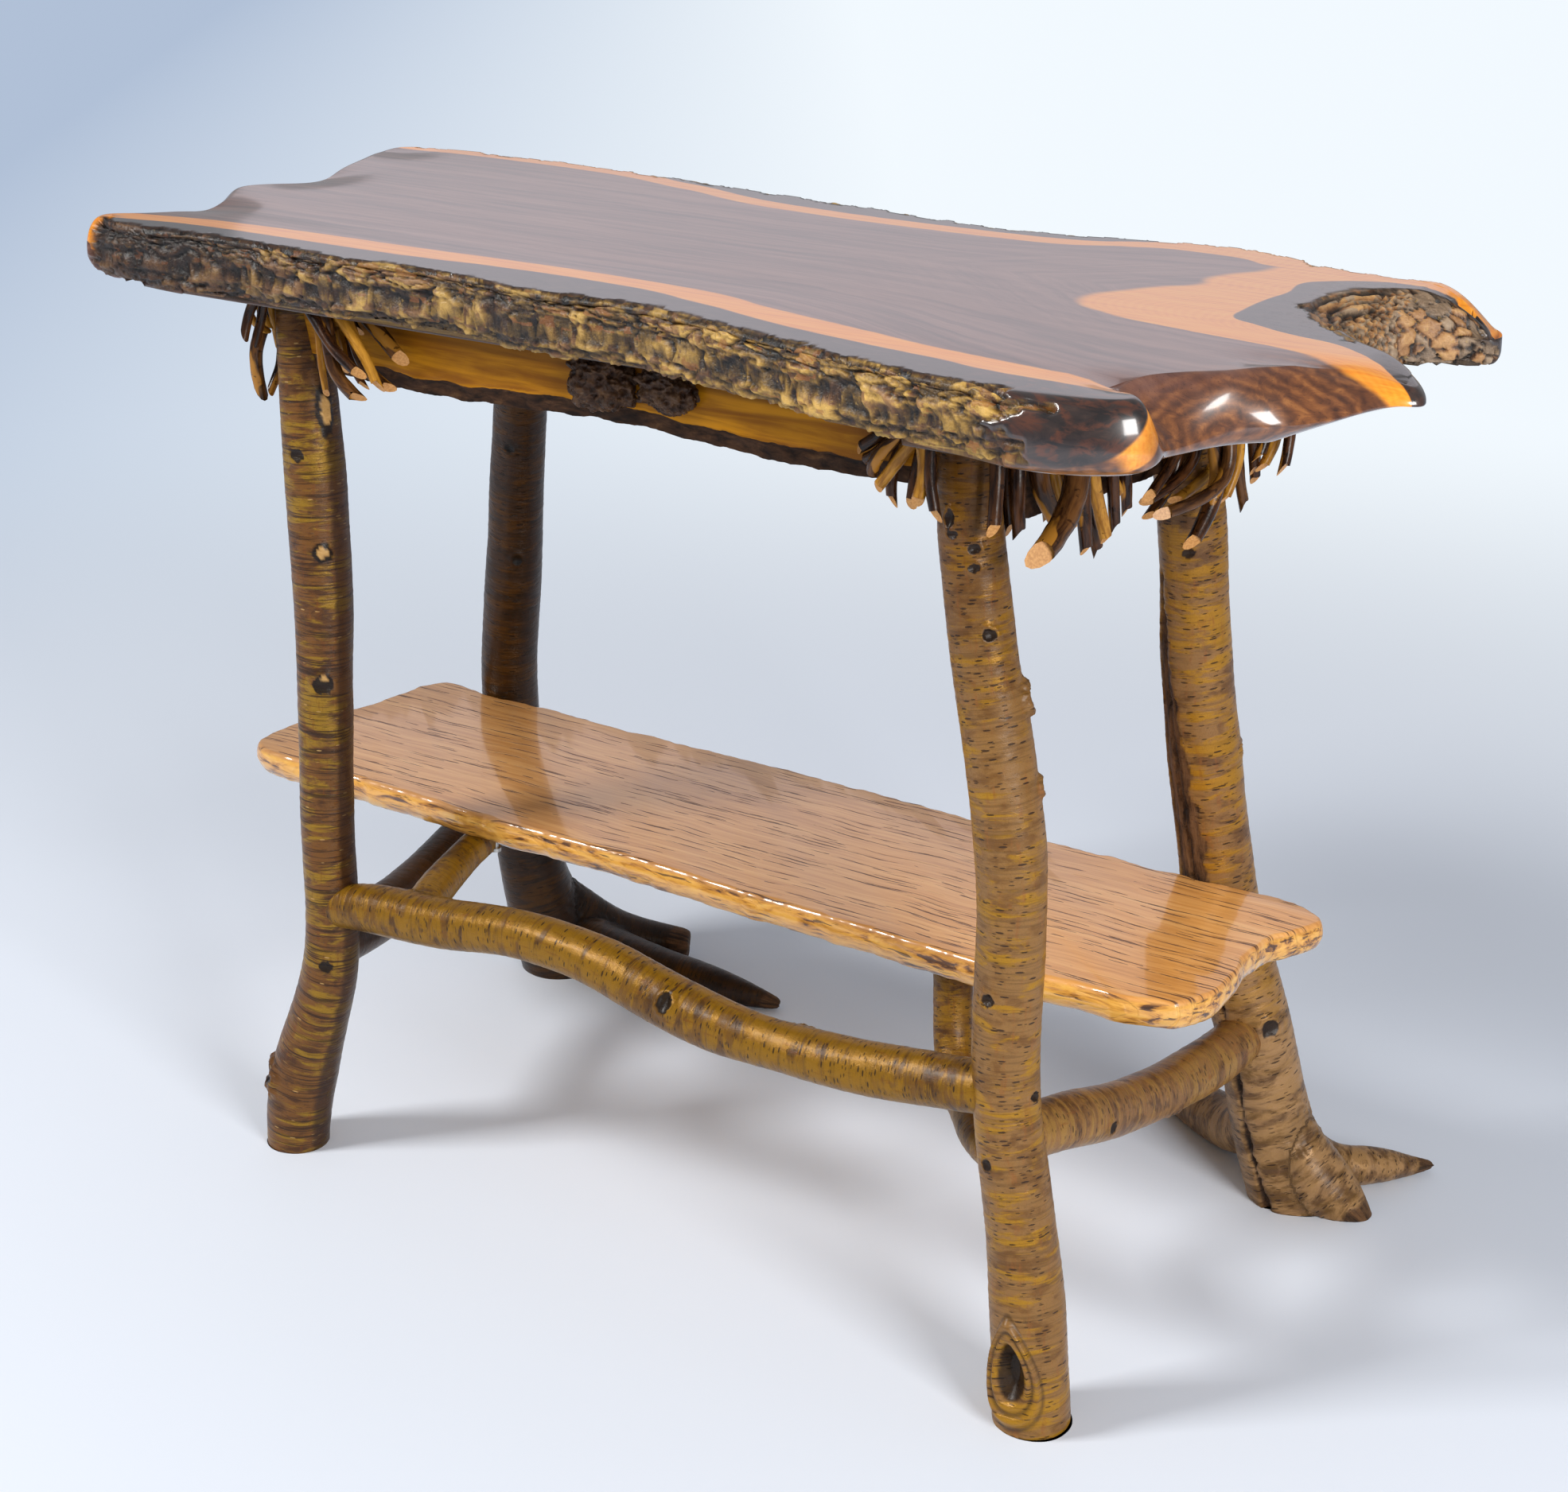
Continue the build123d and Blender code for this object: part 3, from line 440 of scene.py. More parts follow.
def corner_normals(piece):
    """The mesh's corner normals, one row each."""
    flat = np.empty(len(piece.data.vertices) * 3)
    piece.data.vertices.foreach_get("normal", flat)
    return flat.reshape(-1, 3)


def face_outwards(piece):
    """Recalculates the normals of a closed mesh."""
    pick(piece)
    bpy.ops.object.mode_set(mode="EDIT")
    bpy.ops.mesh.select_all(action="SELECT")
    bpy.ops.mesh.normals_make_consistent(inside=False)
    bpy.ops.mesh.select_all(action="DESELECT")
    bpy.ops.object.mode_set(mode="OBJECT")


def apply_modifier(piece, kind, **settings):
    """Adds a modifier with its settings and applies it."""
    pick(piece)
    modifier = piece.modifiers.new(kind.lower(), kind)
    for setting, value in settings.items():
        setattr(modifier, setting, value)
    bpy.ops.object.modifier_apply(modifier=modifier.name)


def joined(pieces, name):
    """Several pieces as one object."""
    pick(pieces[0])
    for piece in pieces[1:]:
        piece.select_set(True)
    if len(pieces) > 1:
        bpy.ops.object.join()
    pieces[0].name = name
    return pieces[0]


def store(piece, name, rows):
    """Keeps a vector for each corner, for the finish to read."""
    layer = piece.data.attributes.new(name, "FLOAT_VECTOR", "POINT")
    layer.data.foreach_set("vector", np.ascontiguousarray(rows).ravel())


def nearest_on(routes, spots):
    """For each spot: nearest route, distance along it, turn about it, and lead over the others."""
    which = np.zeros(len(spots), int)
    along, turn, lead = np.zeros((3, len(spots)))
    for start in range(0, len(spots), 4096):
        some = slice(start, start + 4096)
        found = []
        for route in routes:
            gap = np.linalg.norm(spots[some, None] - route.places[None], axis=2) - route.radii
            pick = gap.argmin(axis=1)
            reach = spots[some] - route.places[pick]
            found.append((gap.min(axis=1), route.along[pick] + (reach * route.ways[pick]).sum(1),
                          np.arctan2((reach * route.beside[pick]).sum(1),
                                     (reach * route.across[pick]).sum(1))))
        gaps = np.array([item[0] for item in found])
        which[some] = gaps.argmin(axis=0)
        row = np.arange(gaps.shape[1])
        along[some] = np.array([item[1] for item in found])[which[some], row]
        turn[some] = np.array([item[2] for item in found])[which[some], row]
        ranked = np.sort(gaps, axis=0)
        lead[some] = ranked[1] - ranked[0] if len(routes) > 1 else 1.0
    return which, along, turn, lead


def noisy(rows, scale, seed=0.0, octaves=1):
    """Smooth noise read at rows of places, between about -1 and 1."""
    spots = rows * np.array(scale) + seed
    if octaves == 1:
        return np.array([noise.noise(Vector(spot)) for spot in spots])
    return np.array([noise.fractal(Vector(spot), 0.8, 2.1, octaves) for spot in spots])


def knot_relief(along, turn, knots, radius):
    """Height, darkness and bare wood that knots and scars give a bark."""
    height, dark, bare = np.zeros((3, len(along)))
    for place, angle, wide, tall, rise, sink, kind in knots:
        gap = (turn - math.radians(angle) + math.pi) % (2 * math.pi) - math.pi
        upward = (along - place) / (tall * MM)
        if kind == "scar":
            # a teardrop: rolled rims that meet in a point below a deep hollow
            taper = 0.74 + 0.30 * np.clip(upward, -1.3, 1.3)
            reach = np.sqrt((gap * radius / (wide * MM * taper)) ** 2 + upward ** 2)
            height += rise * MM * (bell(reach, 1.10, 0.14) + 0.8 * bell(reach, 0.80, 0.12))
            height -= sink * MM * np.clip((0.70 - reach) / 0.4, 0, 1)
            # painted shade darkens the hollow and the creases beside the rims
            hollow = np.clip((0.72 - reach) / 0.14, 0, 0.55) + np.clip((0.34 - reach) / 0.1, 0, 0.45)
            creases = np.maximum(0.42 * bell(reach, 0.95, 0.09), 0.40 * bell(reach, 1.32, 0.11))
            dark = np.maximum(dark, np.maximum(hollow, creases))
            continue
        reach = np.sqrt((gap * radius / (wide * MM)) ** 2 + upward ** 2)
        near = reach < 3
        ragged = noisy(rows_of(gap[near] * radius, along[near] - place), (230, 230, 1), place * 31 + angle, 2)
        reach[near] *= 1 + 0.28 * ragged
        if kind == "cut":
            height += rise * MM * (0.6 * bell(reach, 1.15, 0.42) + np.clip((1.05 - reach) * 6, 0, 1))
            bare = np.maximum(bare, np.clip((1.0 - reach) * 7, 0, 1))
            dark = np.maximum(dark, 0.75 * bell(reach, 1.3, 0.5))
        else:
            height += rise * MM * bell(reach, 1.15, 0.42)
            height -= sink * MM * np.sqrt(np.clip(1.05 - reach, 0, 1))
            dark = np.maximum(dark, np.clip((1.12 - reach) / 0.32, 0, 1))
    return height, dark, bare


# Knots and scars: (height, angle round the leg, half width, half height, rise, sink, kind)
LEG_KNOTS = {
    "front_leg_left": [(632, -16, 4.5, 12, 1.2, 0, "cut"), (524, -44, 4.6, 4.6, 1.4, 0, "cut"),
                       (423, -49, 3.0, 3.0, 1.0, 0, "cut"), (420, -52, 9, 7, 0.8, 0.4, "knot"),
                       (60, -140, 10, 9, 4.0, 1.0, "knot"), (600, -80, 6, 5, 0.8, 1.0, "knot"),
                       (300, 120, 7, 6, 1.5, 1.5, "knot"), (180, -60, 6, 4, 0.8, 1.0, "knot")],
    "front_leg_right": [(653, -98, 4.5, 5.5, 1.2, 2.0, "knot"), (643, -95, 5, 3, 0.8, 1.4, "knot"),
                        (632, -57, 5, 3.5, 1.0, 1.6, "knot"), (619, -59, 4.5, 3, 1.0, 1.4, "knot"),
                        (575, -46, 5.5, 4, 1.6, 1.6, "knot"), (527, 30, 7, 8, 4.5, 0.8, "knot"),
                        (466, 30, 5, 5, 3.2, 0.6, "knot"), (325, -95, 5.5, 4.5, 1.4, 2.0, "knot"),
                        (250, -7, 4.5, 4, 1.2, 1.6, "knot"), (202, -107, 4.5, 4, 1.2, 1.6, "knot"),
                        (48, -92, 19, 33, 5.0, 9.0, "scar")],
    "back_leg_right": [(387, 27, 5, 4, 1.5, 1.0, "knot"), (161, -34, 7, 6, 1.2, 1.4, "knot"),
                       (560, -70, 5, 4, 1.0, 1.2, "knot"), (640, -20, 5, 5, 1.2, 1.2, "knot")],
    "back_leg_left": [(532, -73, 5, 4, 1.0, 1.2, "knot"), (426, -46, 5, 4, 1.0, 1.2, "knot"),
                      (140, 30, 10, 9, 2.0, 2.0, "knot")],
}


def shaded(colour, amount):
    """A colour made darker or lighter."""
    return tuple(amount * part for part in colour)


def bark_finish(name, gold, tan, brown, dark, pores, rings, seed, patch, glints=0.0,
                strip=None, painted_slab_shade=0.0, root=0.0):
    """Varnished bark: gold patches on brown, fine rings, short dark pores, knots and cut wood."""
    bark = Finish(name, coat=0.05, coat_roughness=0.2, gloss=0.24)
    lay = bark.stretch(bark.kept("bark"), (1, 1, 1), (seed, 0.3 * seed, 0.7 * seed))
    knot, bare, split = bark.parts(bark.kept("marks"))
    up = bark.parts(bark.place())[2]
    mottle = bark.grain(lay, (34, 34, 78), 5, 0.64, 0.5)
    drift = bark.cloud(lay, 13, 2, 0.5)
    gilt = bark.grain(lay, (27, 27, 105), 4, 0.62, 0.6)
    wide_rings = bark.grain(lay, (9, 9, 130), 3, 0.55)
    fine_rings = bark.grain(lay, (15, 15, 520), 3, 0.62, 0.2)
    stain = bark.grain(lay, (210, 210, 48), 3, 0.62)
    speckle = bark.cloud(lay, 1000, 2, 0.7)
    colour = bark.blend(mottle.fade(0.36, 0.54), brown, tan)
    patches = (gilt * 0.55 + wide_rings * 0.25 + drift * 0.28).fade(patch - 0.035, patch + 0.055)
    colour = bark.blend(patches * 0.92, colour, gold)
    colour = bark.blend(stain.fade(0.54, 0.74) * 0.55, colour, (1.05 * tan[0], 0.72 * tan[1], 0.5 * tan[2]))
    colour = bark.blend(fine_rings.fade(0.50, 0.62) * rings, colour, shaded(brown, 0.42))

    def slots(long, thin, share, slim):
        """Short slots round the limb, one in a share of the cells of a stretched grid."""
        cell = bark.cells(bark.stretch(lay, (1000 / long, 1000 / long, 1000 / thin)))
        chosen = bark.parts(cell.also("Color"))[0].fade(1 - share, 1.05 - share)
        return (slim - cell + (speckle - 0.5) * 0.10).fade(0.0, 0.06) * chosen

    pore = (slots(15, 3.2, 0.62, 0.23).most(slots(9, 2.2, 0.55, 0.24) * 0.8) * pores).least(1.0)
    colour = bark.blend(pore * 0.85, colour, dark)
    # painted glints: small pale dashes stand in for sparkles of light on the varnish
    if glints:
        colour = bark.blend(slots(13, 3.0, 0.16, 0.22) * glints, colour, (0.50, 0.30, 0.10))
    if strip is not None:
        # a dark strip runs up the limb on one side
        toward = (math.cos(strip) / BARK_GIRTH, math.sin(strip) / BARK_GIRTH, 0)
        side = bark.vector_maths("DOT_PRODUCT", bark.kept("bark"), toward)
        side = (side + (mottle - 0.5) * 0.25).fade(0.80, 0.92)
        colour = bark.blend(side * 0.75, colour, shaded(dark, 1.4))
    colour = bark.blend((speckle - 0.5).fade(0.0, 0.3) * 0.3, colour, shaded(brown, 0.5))
    if root:
        old_bark = bark.blend(mottle.fade(0.38, 0.60), (0.11, 0.055, 0.022), (0.36, 0.205, 0.088))
        old_bark = bark.blend(pore * 0.8, old_bark, dark)
        low = 1 - (up + (drift - 0.5) * 0.2).fade(root * 0.45, root)
        colour = bark.blend(low * 0.85, colour, old_bark)
    # painted shade: the limb darkens towards its top, where the slab shades it
    if painted_slab_shade:
        colour = bark.blend(up.fade(0.46, 0.74) * painted_slab_shade, colour, (0.36, 0.26, 0.10), "MULTIPLY")
    knot = knot.fade(0.12, 0.62)
    colour = bark.blend(knot * 0.95, colour, shaded(dark, 0.4))
    cut_wood = bark.blend(bark.cloud(bark.place(), 500, 3, 0.5), (0.42, 0.22, 0.06), (0.60, 0.36, 0.13))
    colour = bark.blend(bare.least(1.0), colour, cut_wood)
    rough_wood = bark.grain(lay, (180, 180, 30), 5, 0.7)
    split_wood = bark.blend(rough_wood.fade(0.35, 0.65), (0.016, 0.007, 0.004), (0.16, 0.075, 0.030))
    colour = bark.blend(split.least(1.0), colour, split_wood)
    height = mottle * 0.35 + patches * 0.12 + fine_rings * 0.5 * rings + speckle * 0.16 - pore * 0.55
    height = height + rough_wood * split * 1.4
    return bark.wear(Base_Color=colour, Roughness=0.25 + 0.20 * speckle + 0.3 * split.least(1.0),
                     Metallic=patches * (1 - knot) * 0.25, Normal=bark.bumps(height, 0.0014, 0.85))


def bark_skin(piece, routes, knots, seed, crotch=0.010):
    """Lays bark round a limb. Gives the raised corners, and where each lies on its route."""
    spots = corners(piece)
    which, along, turn, lead = nearest_on(routes, spots)
    lay = rows_of(np.cos(turn) * BARK_GIRTH, np.sin(turn) * BARK_GIRTH, along + which * 1.7)
    store(piece, "bark", lay)
    height = noisy(lay, (42, 42, 17), seed) * 1.1 * MM
    height += noisy(lay, (30, 30, 330), seed + 7) * 0.22 * MM
    height += noisy(lay, (150, 150, 210), seed + 3) * 0.22 * MM
    rise, dark, bare = knot_relief(along, turn, knots, float(np.mean(routes[0].radii)))
    on_stem = which == 0
    fold = bell(lead, 0, 0.7 * crotch)
    # painted shade: the bark is darkened in the fold where two limbs meet
    dark = np.maximum(dark * on_stem, fold * 0.30)
    height += rise * on_stem + fold * noisy(spots, (260, 260, 260), seed) * 1.6 * MM
    spots = spots + corner_normals(piece) * height[:, None]
    return spots, along, turn, which, dark, bare * on_stem


LEG_LOOKS = {
    "front_leg_left": dict(gold=(0.30, 0.165, 0.014), tan=(0.155, 0.062, 0.012), brown=(0.070, 0.026, 0.007),
                           dark=(0.013, 0.005, 0.003), pores=0.35, rings=0.85, seed=1.3, patch=0.565,
                           glints=0.7, strip=math.radians(8)),
    "front_leg_right": dict(gold=(0.39, 0.190, 0.010), tan=(0.25, 0.125, 0.036), brown=(0.160, 0.070, 0.016),
                            dark=(0.022, 0.009, 0.005), pores=1.0, rings=0.35, seed=4.1, patch=0.55,
                            painted_slab_shade=1.0),
    "back_leg_right": dict(gold=(0.40, 0.190, 0.012), tan=(0.26, 0.130, 0.040), brown=(0.130, 0.058, 0.018),
                           dark=(0.024, 0.010, 0.005), pores=1.0, rings=0.25, seed=9.2, patch=0.54, painted_slab_shade=1.0,
                           root=0.30),
    "back_leg_left": dict(gold=(0.070, 0.028, 0.004), tan=(0.034, 0.013, 0.003), brown=(0.017, 0.007, 0.002),
                          dark=(0.006, 0.003, 0.002), pores=0.9, rings=0.5, seed=6.7, patch=0.57),
}

for leg_name, bends in LEG_BENDS.items():
    routes = [Route(leg_stations(leg_name, bends))]
    routes += [Route(leg_stations(leg_name, toe), up=(0, 0, 1)) for toe in LEG_TOES.get(leg_name, [])]
    # the leg nearest to the camera is the finest
    around, spacing = (150, 0.0015) if leg_name == "front_leg_right" else (84, 0.0025)
    limbs = [bent_limb(f"{leg_name}_limb_{number}", route, 48 if number else around, spacing)
             for number, route in enumerate(routes)]
    leg = joined(limbs, f"{leg_name}_bark")
    if len(routes) > 1:
        apply_modifier(leg, "REMESH", mode="VOXEL", voxel_size=TOE_VOXEL)
        apply_modifier(leg, "SMOOTH", factor=0.5, iterations=24)
    knots = [(routes[0].along[np.abs(routes[0].places[:, 2] - height * MM).argmin()], angle, *rest)
             for height, angle, *rest in LEG_KNOTS[leg_name]]
    look = LEG_LOOKS[leg_name]
    spots, along, turn, which, dark, bare = bark_skin(leg, routes, knots, look["seed"])
    split = np.zeros(len(spots))
    if leg_name == "back_leg_right":
        # a long ragged split on the left side, with a crack down its middle
        height = spots[:, 2] / MM
        middle = np.interp(height, [230, 310, 400, 470, 520], [-100, -108, -120, -128, -132])
        half = np.interp(height, [200, 240, 320, 420, 490, 545], [4, 26, 34, 22, 12, 0])
        ragged = noisy(rows_of(turn, along * 60), (1.5, 1.0, 1.0), 3.0, 4)
        gap = np.abs((np.degrees(turn) - middle + 180) % 360 - 180)
        split = np.clip((half + 9 * ragged - gap) / 3.5, 0, 1) * (which == 0)
        crack = bell(gap, 5 * ragged, 3.0) * (half > 2) * (which == 0)
        spots -= corner_normals(leg) * (split * 1.8 * MM + crack * 4.5 * MM)[:, None]
        # painted shade: the crack is darkened
        dark = np.maximum(dark, crack)
    for number, route in enumerate(routes[1:], 1):
        past_bark = along - route.length + 0.020 + 0.006 * noisy(spots, (90, 90, 90), 4.0)
        worn = np.clip(past_bark / 0.003, 0, 1)
        split = np.maximum(split, 0.9 * worn * (which == number))
    if leg_name == "back_leg_left":
        dark = np.clip(dark + 0.25 * np.clip((90 - spots[:, 2] / MM) / 90, 0, 1), 0, 1)
    spots[:, 2] = np.clip(spots[:, 2], 0.0, SLAB_UNDERSIDE * MM)
    set_corners(leg, spots)
    store(leg, "marks", rows_of(np.clip(dark, 0, 1), bare, split))
    bpy.ops.object.shade_smooth()
    leg.data.materials.append(bark_finish(f"{leg_name}_bark", **look))
    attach(leg, "root")
    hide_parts(leg_name)


# ---- Stretchers, fork and knee -------------------------------------------------------
# Bent branches with their bark on, tenoned into the legs. The front one keeps a fork that
# rises under the shelf, and a bent knee props the shelf from the front right leg.

SHELF_UNDERSIDE = 263.0
FORK_VOXEL = 0.0022
FRONT_BRANCH = [(-274, -158, 224, 34), (-247, -157, 230, 38), (-171, -158, 238, 40),
                (-71, -160, 252, 38), (5, -161, 248, 41), (87, -163, 232, 42), (157, -164, 228, 38),
                (258, -165, 235, 40), (340, -165, 247, 38)]
LEFT_BRANCH = [(-279, -159, 184, 38), (-293, -103, 180, 45), (-315, -22, 172, 46),
               (-341, 86, 178, 44), (-363, 191, 190, 38)]
RIGHT_BRANCH = [(361, -160, 213, 36), (368, -112, 204, 40), (373, -32, 180, 40),
                (375, 57, 160, 40), (378, 126, 153, 41), (380, 188, 152, 36)]
FORK = [(-183, -158, 238, 30), (-197, -122, 242, 30), (-209, -77, 247, 27), (-218, -32, 251, 27),
        (-223, 13, 252, 25)]
KNEE = [(228, -24, 267, 31), (231, -29, 225, 30), (243, -45, 186, 29), (281, -90, 176, 28),
        (321, -135, 183, 28), (363, -165, 187, 24)]
FRONT_BRANCH_KNOTS = [(0.030, 95, 5, 5, 1.6, 1.0, "knot"), (0.112, 60, 6, 6, 1.4, 1.6, "knot"),
                      (0.158, 70, 5, 5, 1.2, 1.4, "knot"), (0.262, 85, 6, 6, 1.8, 2.0, "knot"),
                      (0.415, 120, 4, 4, 1.2, 1.2, "knot"), (0.455, 75, 8, 7, 2.2, 2.6, "knot"),
                      (0.350, -60, 7, 6, 2.0, 1.6, "knot"), (0.560, 160, 5, 5, 1.5, 1.2, "knot")]
BRANCH_LOOKS = {
    "front_stretcher": dict(gold=(0.27, 0.130, 0.006), tan=(0.15, 0.066, 0.007), brown=(0.068, 0.028, 0.005),
                            dark=(0.018, 0.008, 0.004), pores=1.0, rings=0.2, seed=3.3, patch=0.50),
    "left_stretcher": dict(gold=(0.065, 0.024, 0.004), tan=(0.040, 0.014, 0.003), brown=(0.024, 0.009, 0.003),
                           dark=(0.008, 0.004, 0.002), pores=0.3, rings=0.3, seed=5.3, patch=0.60),
    "right_stretcher": dict(gold=(0.36, 0.190, 0.045), tan=(0.24, 0.115, 0.034), brown=(0.110, 0.048, 0.016),
                            dark=(0.014, 0.006, 0.003), pores=0.9, rings=0.3, seed=7.9, patch=0.545),
    "knee_brace": dict(gold=(0.26, 0.125, 0.009), tan=(0.15, 0.065, 0.009), brown=(0.068, 0.027, 0.006),
                       dark=(0.014, 0.006, 0.003), pores=0.9, rings=0.3, seed=8.8, patch=0.52),
}

for branch_name, lines, branch_knots in (
        ("front_stretcher", [FRONT_BRANCH, FORK], FRONT_BRANCH_KNOTS),
        ("left_stretcher", [LEFT_BRANCH], [(0.12, 120, 5, 5, 1.5, 1.2, "knot")]),
        ("right_stretcher", [RIGHT_BRANCH], [(0.09, -100, 5, 4, 1.5, 1.4, "knot"),
                                             (0.20, -130, 5, 5, 1.2, 1.2, "knot")]),
        ("knee_brace", [KNEE], [(0.10, 100, 4, 4, 1.2, 1.0, "knot")])):
    routes = [Route(line, up=(0, 0, 1)) for line in lines]
    limbs = [bent_limb(f"{branch_name}_limb_{number}", route, 60) for number, route in enumerate(routes)]
    branch = joined(limbs, f"{branch_name}_bark")
    if len(routes) > 1:
        apply_modifier(branch, "REMESH", mode="VOXEL", voxel_size=FORK_VOXEL)
        apply_modifier(branch, "SMOOTH", factor=0.5, iterations=5)
    look = BRANCH_LOOKS[branch_name]
    spots, _, _, which, dark, bare = bark_skin(branch, routes, branch_knots, look["seed"], crotch=0.006)
    if branch_name in ("front_stretcher", "knee_brace"):
        # the fork and the knee are cut flat where the shelf rests on them
        upright = which == len(routes) - 1
        spots[upright, 2] = np.minimum(spots[upright, 2], SHELF_UNDERSIDE * MM)
    set_corners(branch, spots)
    store(branch, "marks", rows_of(dark, bare))
    bpy.ops.object.shade_smooth()
    branch.data.materials.append(bark_finish(f"{branch_name}_bark", **look))
    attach(branch, "root")
    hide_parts(branch_name)


# ---- Slab ----------------------------------------------------------------------------
# One thick live-edge board from just below a fork in the trunk. Its long edges keep their
# flaky bark, its ends are carved and polished, and the right end runs out in two prongs. The
# dark heartwood lies between orange sapwood stripes, under a glossy varnish.

SLAB_TOP = 770.0
EDGE_COUNT = 1700            # corners round the edge
LOWER_RINGS, UPPER_RINGS = 10, 27     # below the widest line, and from there to the top
HOLLOWS_FROM, HOLLOWS_FADE = 742.0, 26.0   # the hollows deepen over this part of the height
# (x, y, inset below, inset above, widest height, squareness, bark): a squareness of 1 rounds
# the upper edge, less keeps it full, and 2 or more hollows it
SLAB_EDGE = [
    (-460, -178, 34, 26, 739, 1.0, 0.1), (-424, -207, 20, 12, 742, 0.8, 0.75),
    (-350, -206, 10, 9, 739, 0.55, 1.0), (-270, -203, 10, 9, 739, 0.5, 1.0),
    (-190, -209, 10, 9, 739, 0.5, 1.0), (-95, -204, 10, 9, 739, 0.5, 1.0),
    (-10, -215, 12, 9, 739, 0.5, 1.0), (65, -210, 10, 9, 739, 0.5, 1.0),
    (145, -224, 12, 9, 739, 0.5, 1.0), (225, -243, 12, 9, 739, 0.5, 1.0),
    (300, -260, 12, 10, 739, 0.5, 1.0), (380, -270, 14, 14, 741, 0.7, 0.55),
    (430, -267, 18, 18, 742, 0.9, 0.05), (459, -255, 22, 14, 740, 1.0, 0.0),
    (476, -233, 24, 20, 737, 1.1, 0.0), (470, -207, 22, 34, 733, 1.8, 0.0),
    (475, -180, 20, 26, 732, 1.5, 0.0), (491, -152, 24, 16, 735, 1.0, 0.0),
    (512, -134, 26, 24, 738, 1.7, 0.0), (544, -118, 22, 26, 745, 1.3, 0.0),
    (570, -106, 18, 13, 756, 1.1, 0.0), (583, -95, 12, 9, 758, 1.0, 0.0),
    (578, -80, 14, 8, 758, 0.9, 0.0), (564, -62, 14, 9, 752, 0.8, 0.1),
    (543, -42, 13, 12, 746, 0.8, 0.2), (520, -20, 12, 18, 741, 0.9, 0.35),
    (497, 22, 6, 34, 737, 0.95, 0.75), (486, 62, 4, 42, 736, 0.95, 1.0),
    (494, 96, 4, 32, 736, 0.9, 1.0), (520, 118, 5, 16, 735, 0.8, 1.0),
    (545, 134, 8, 14, 732, 0.9, 0.35), (536, 158, 12, 14, 733, 0.9, 0.0),
    (488, 164, 12, 10, 739, 0.6, 0.3), (420, 164, 10, 9, 739, 0.55, 1.0),
    (360, 186, 10, 8, 739, 0.5, 1.0), (300, 186, 10, 8, 739, 0.5, 1.0),
    (215, 165, 10, 7, 739, 0.5, 1.0), (130, 155, 9, 7, 739, 0.5, 1.0),
    (50, 166, 9, 7, 739, 0.5, 1.0), (-50, 173, 9, 7, 739, 0.5, 1.0),
    (-150, 184, 10, 8, 739, 0.5, 1.0), (-250, 187, 10, 8, 739, 0.5, 1.0),
    (-345, 192, 12, 9, 739, 0.6, 1.0), (-420, 186, 16, 13, 741, 0.8, 0.6),
    (-459, 166, 22, 16, 742, 1.0, 0.0), (-447, 110, 24, 14, 740, 1.0, 0.0),
    (-426, 50, 22, 12, 740, 1.2, 0.0), (-422, 8, 22, 18, 740, 1.5, 0.0),
    (-440, -40, 22, 12, 740, 1.0, 0.0), (-421, -98, 24, 20, 741, 1.4, 0.0),
    (-420, -140, 26, 18, 741, 1.1, 0.1)]
# Soft hollows carved in the polished ends: (x, y, half length, half width, depth)
SLAB_HOLLOWS = [(446, -206, 26, 13, 6.0), (530, -100, 36, 10, 3.4), (484, -112, 16, 10, 2.2),
                (-408, 24, 24, 34, 3.0), (-398, -116, 30, 22, 3.6), (-430, 148, 24, 16, 2.0)]


class Outline:
    """A closed drawn outline, spread evenly along a smooth curve."""

    def __init__(self, rows, count):
        self.spots = np.array([row[:2] for row in rows], float)
        ahead = np.roll(self.spots, -1, axis=0) - np.roll(self.spots, 1, axis=0)
        ahead /= np.linalg.norm(ahead, axis=1)[:, None]
        self.inward = np.stack([-ahead[:, 1], ahead[:, 0]], axis=1)
        self.lap = 6
        ring = self.wrap(self.spots)
        self.knots = np.concatenate([[0], np.cumsum(np.linalg.norm(np.diff(ring, axis=0), axis=1))])
        start = self.knots[self.lap]
        self.girth = self.knots[self.lap + len(rows)] - start
        self.wanted = start + self.girth * np.arange(count) / count

    def wrap(self, rows):
        """The rows with a few repeated at each end, so that the curve closes smoothly."""
        rows = rows if rows.ndim == 2 else rows[:, None]
        return np.concatenate([rows[-self.lap:], rows, rows[:self.lap + 1]])

    def spread(self, rows):
        """Values at the drawn points, spread over the whole curve."""
        smooth = spline_through(self.wrap(np.asarray(rows, float)), self.knots, self.wanted)
        return smooth if smooth.shape[1] > 1 else smooth[:, 0]


def ring_solid(name, rings):
    """A closed solid through rings of places: a cylinder cut into levels and reshaped."""
    count = len(rings[0])
    bpy.ops.object.select_all(action="DESELECT")
    bpy.ops.mesh.primitive_cylinder_add(vertices=count, radius=1, depth=1, end_fill_type="NGON")
    solid = bpy.context.object
    solid.name = name
    cut_into_rings(solid, len(rings) - 2)
    spots = corners(solid)
    step = np.rint(np.arctan2(spots[:, 1], spots[:, 0]) / (2 * math.pi) * count).astype(int) % count
    level = np.rint((spots[:, 2] + 0.5) * (len(rings) - 1)).astype(int)
    set_corners(solid, np.array(rings)[level, step])
    face_outwards(solid)
    return solid, level, step


def slab_hollow(x, y):
    """Depth of the carved hollows under places on the top."""
    depth = np.zeros(len(x))
    for middle_x, middle_y, long, wide, deep in SLAB_HOLLOWS:
        depth += deep * bell(x, middle_x, long) * bell(y, middle_y, wide)
    # both prongs droop to a point
    depth += 37 * np.clip((x - 486) / 59, 0, 1) ** 1.9 * np.clip((y - 100) / 20, 0, 1)
    return depth + 9 * np.clip((x - 535) / 48, 0, 1) ** 1.5 * np.clip((-20 - y) / 20, 0, 1)


def slab_under(x, y):
    """Height of the underside, which rises under the thin front prong."""
    return SLAB_UNDERSIDE + 33 * np.clip((x - 498) / 76, 0, 1.0) * np.clip((-6 - y) / 22, 0, 1)


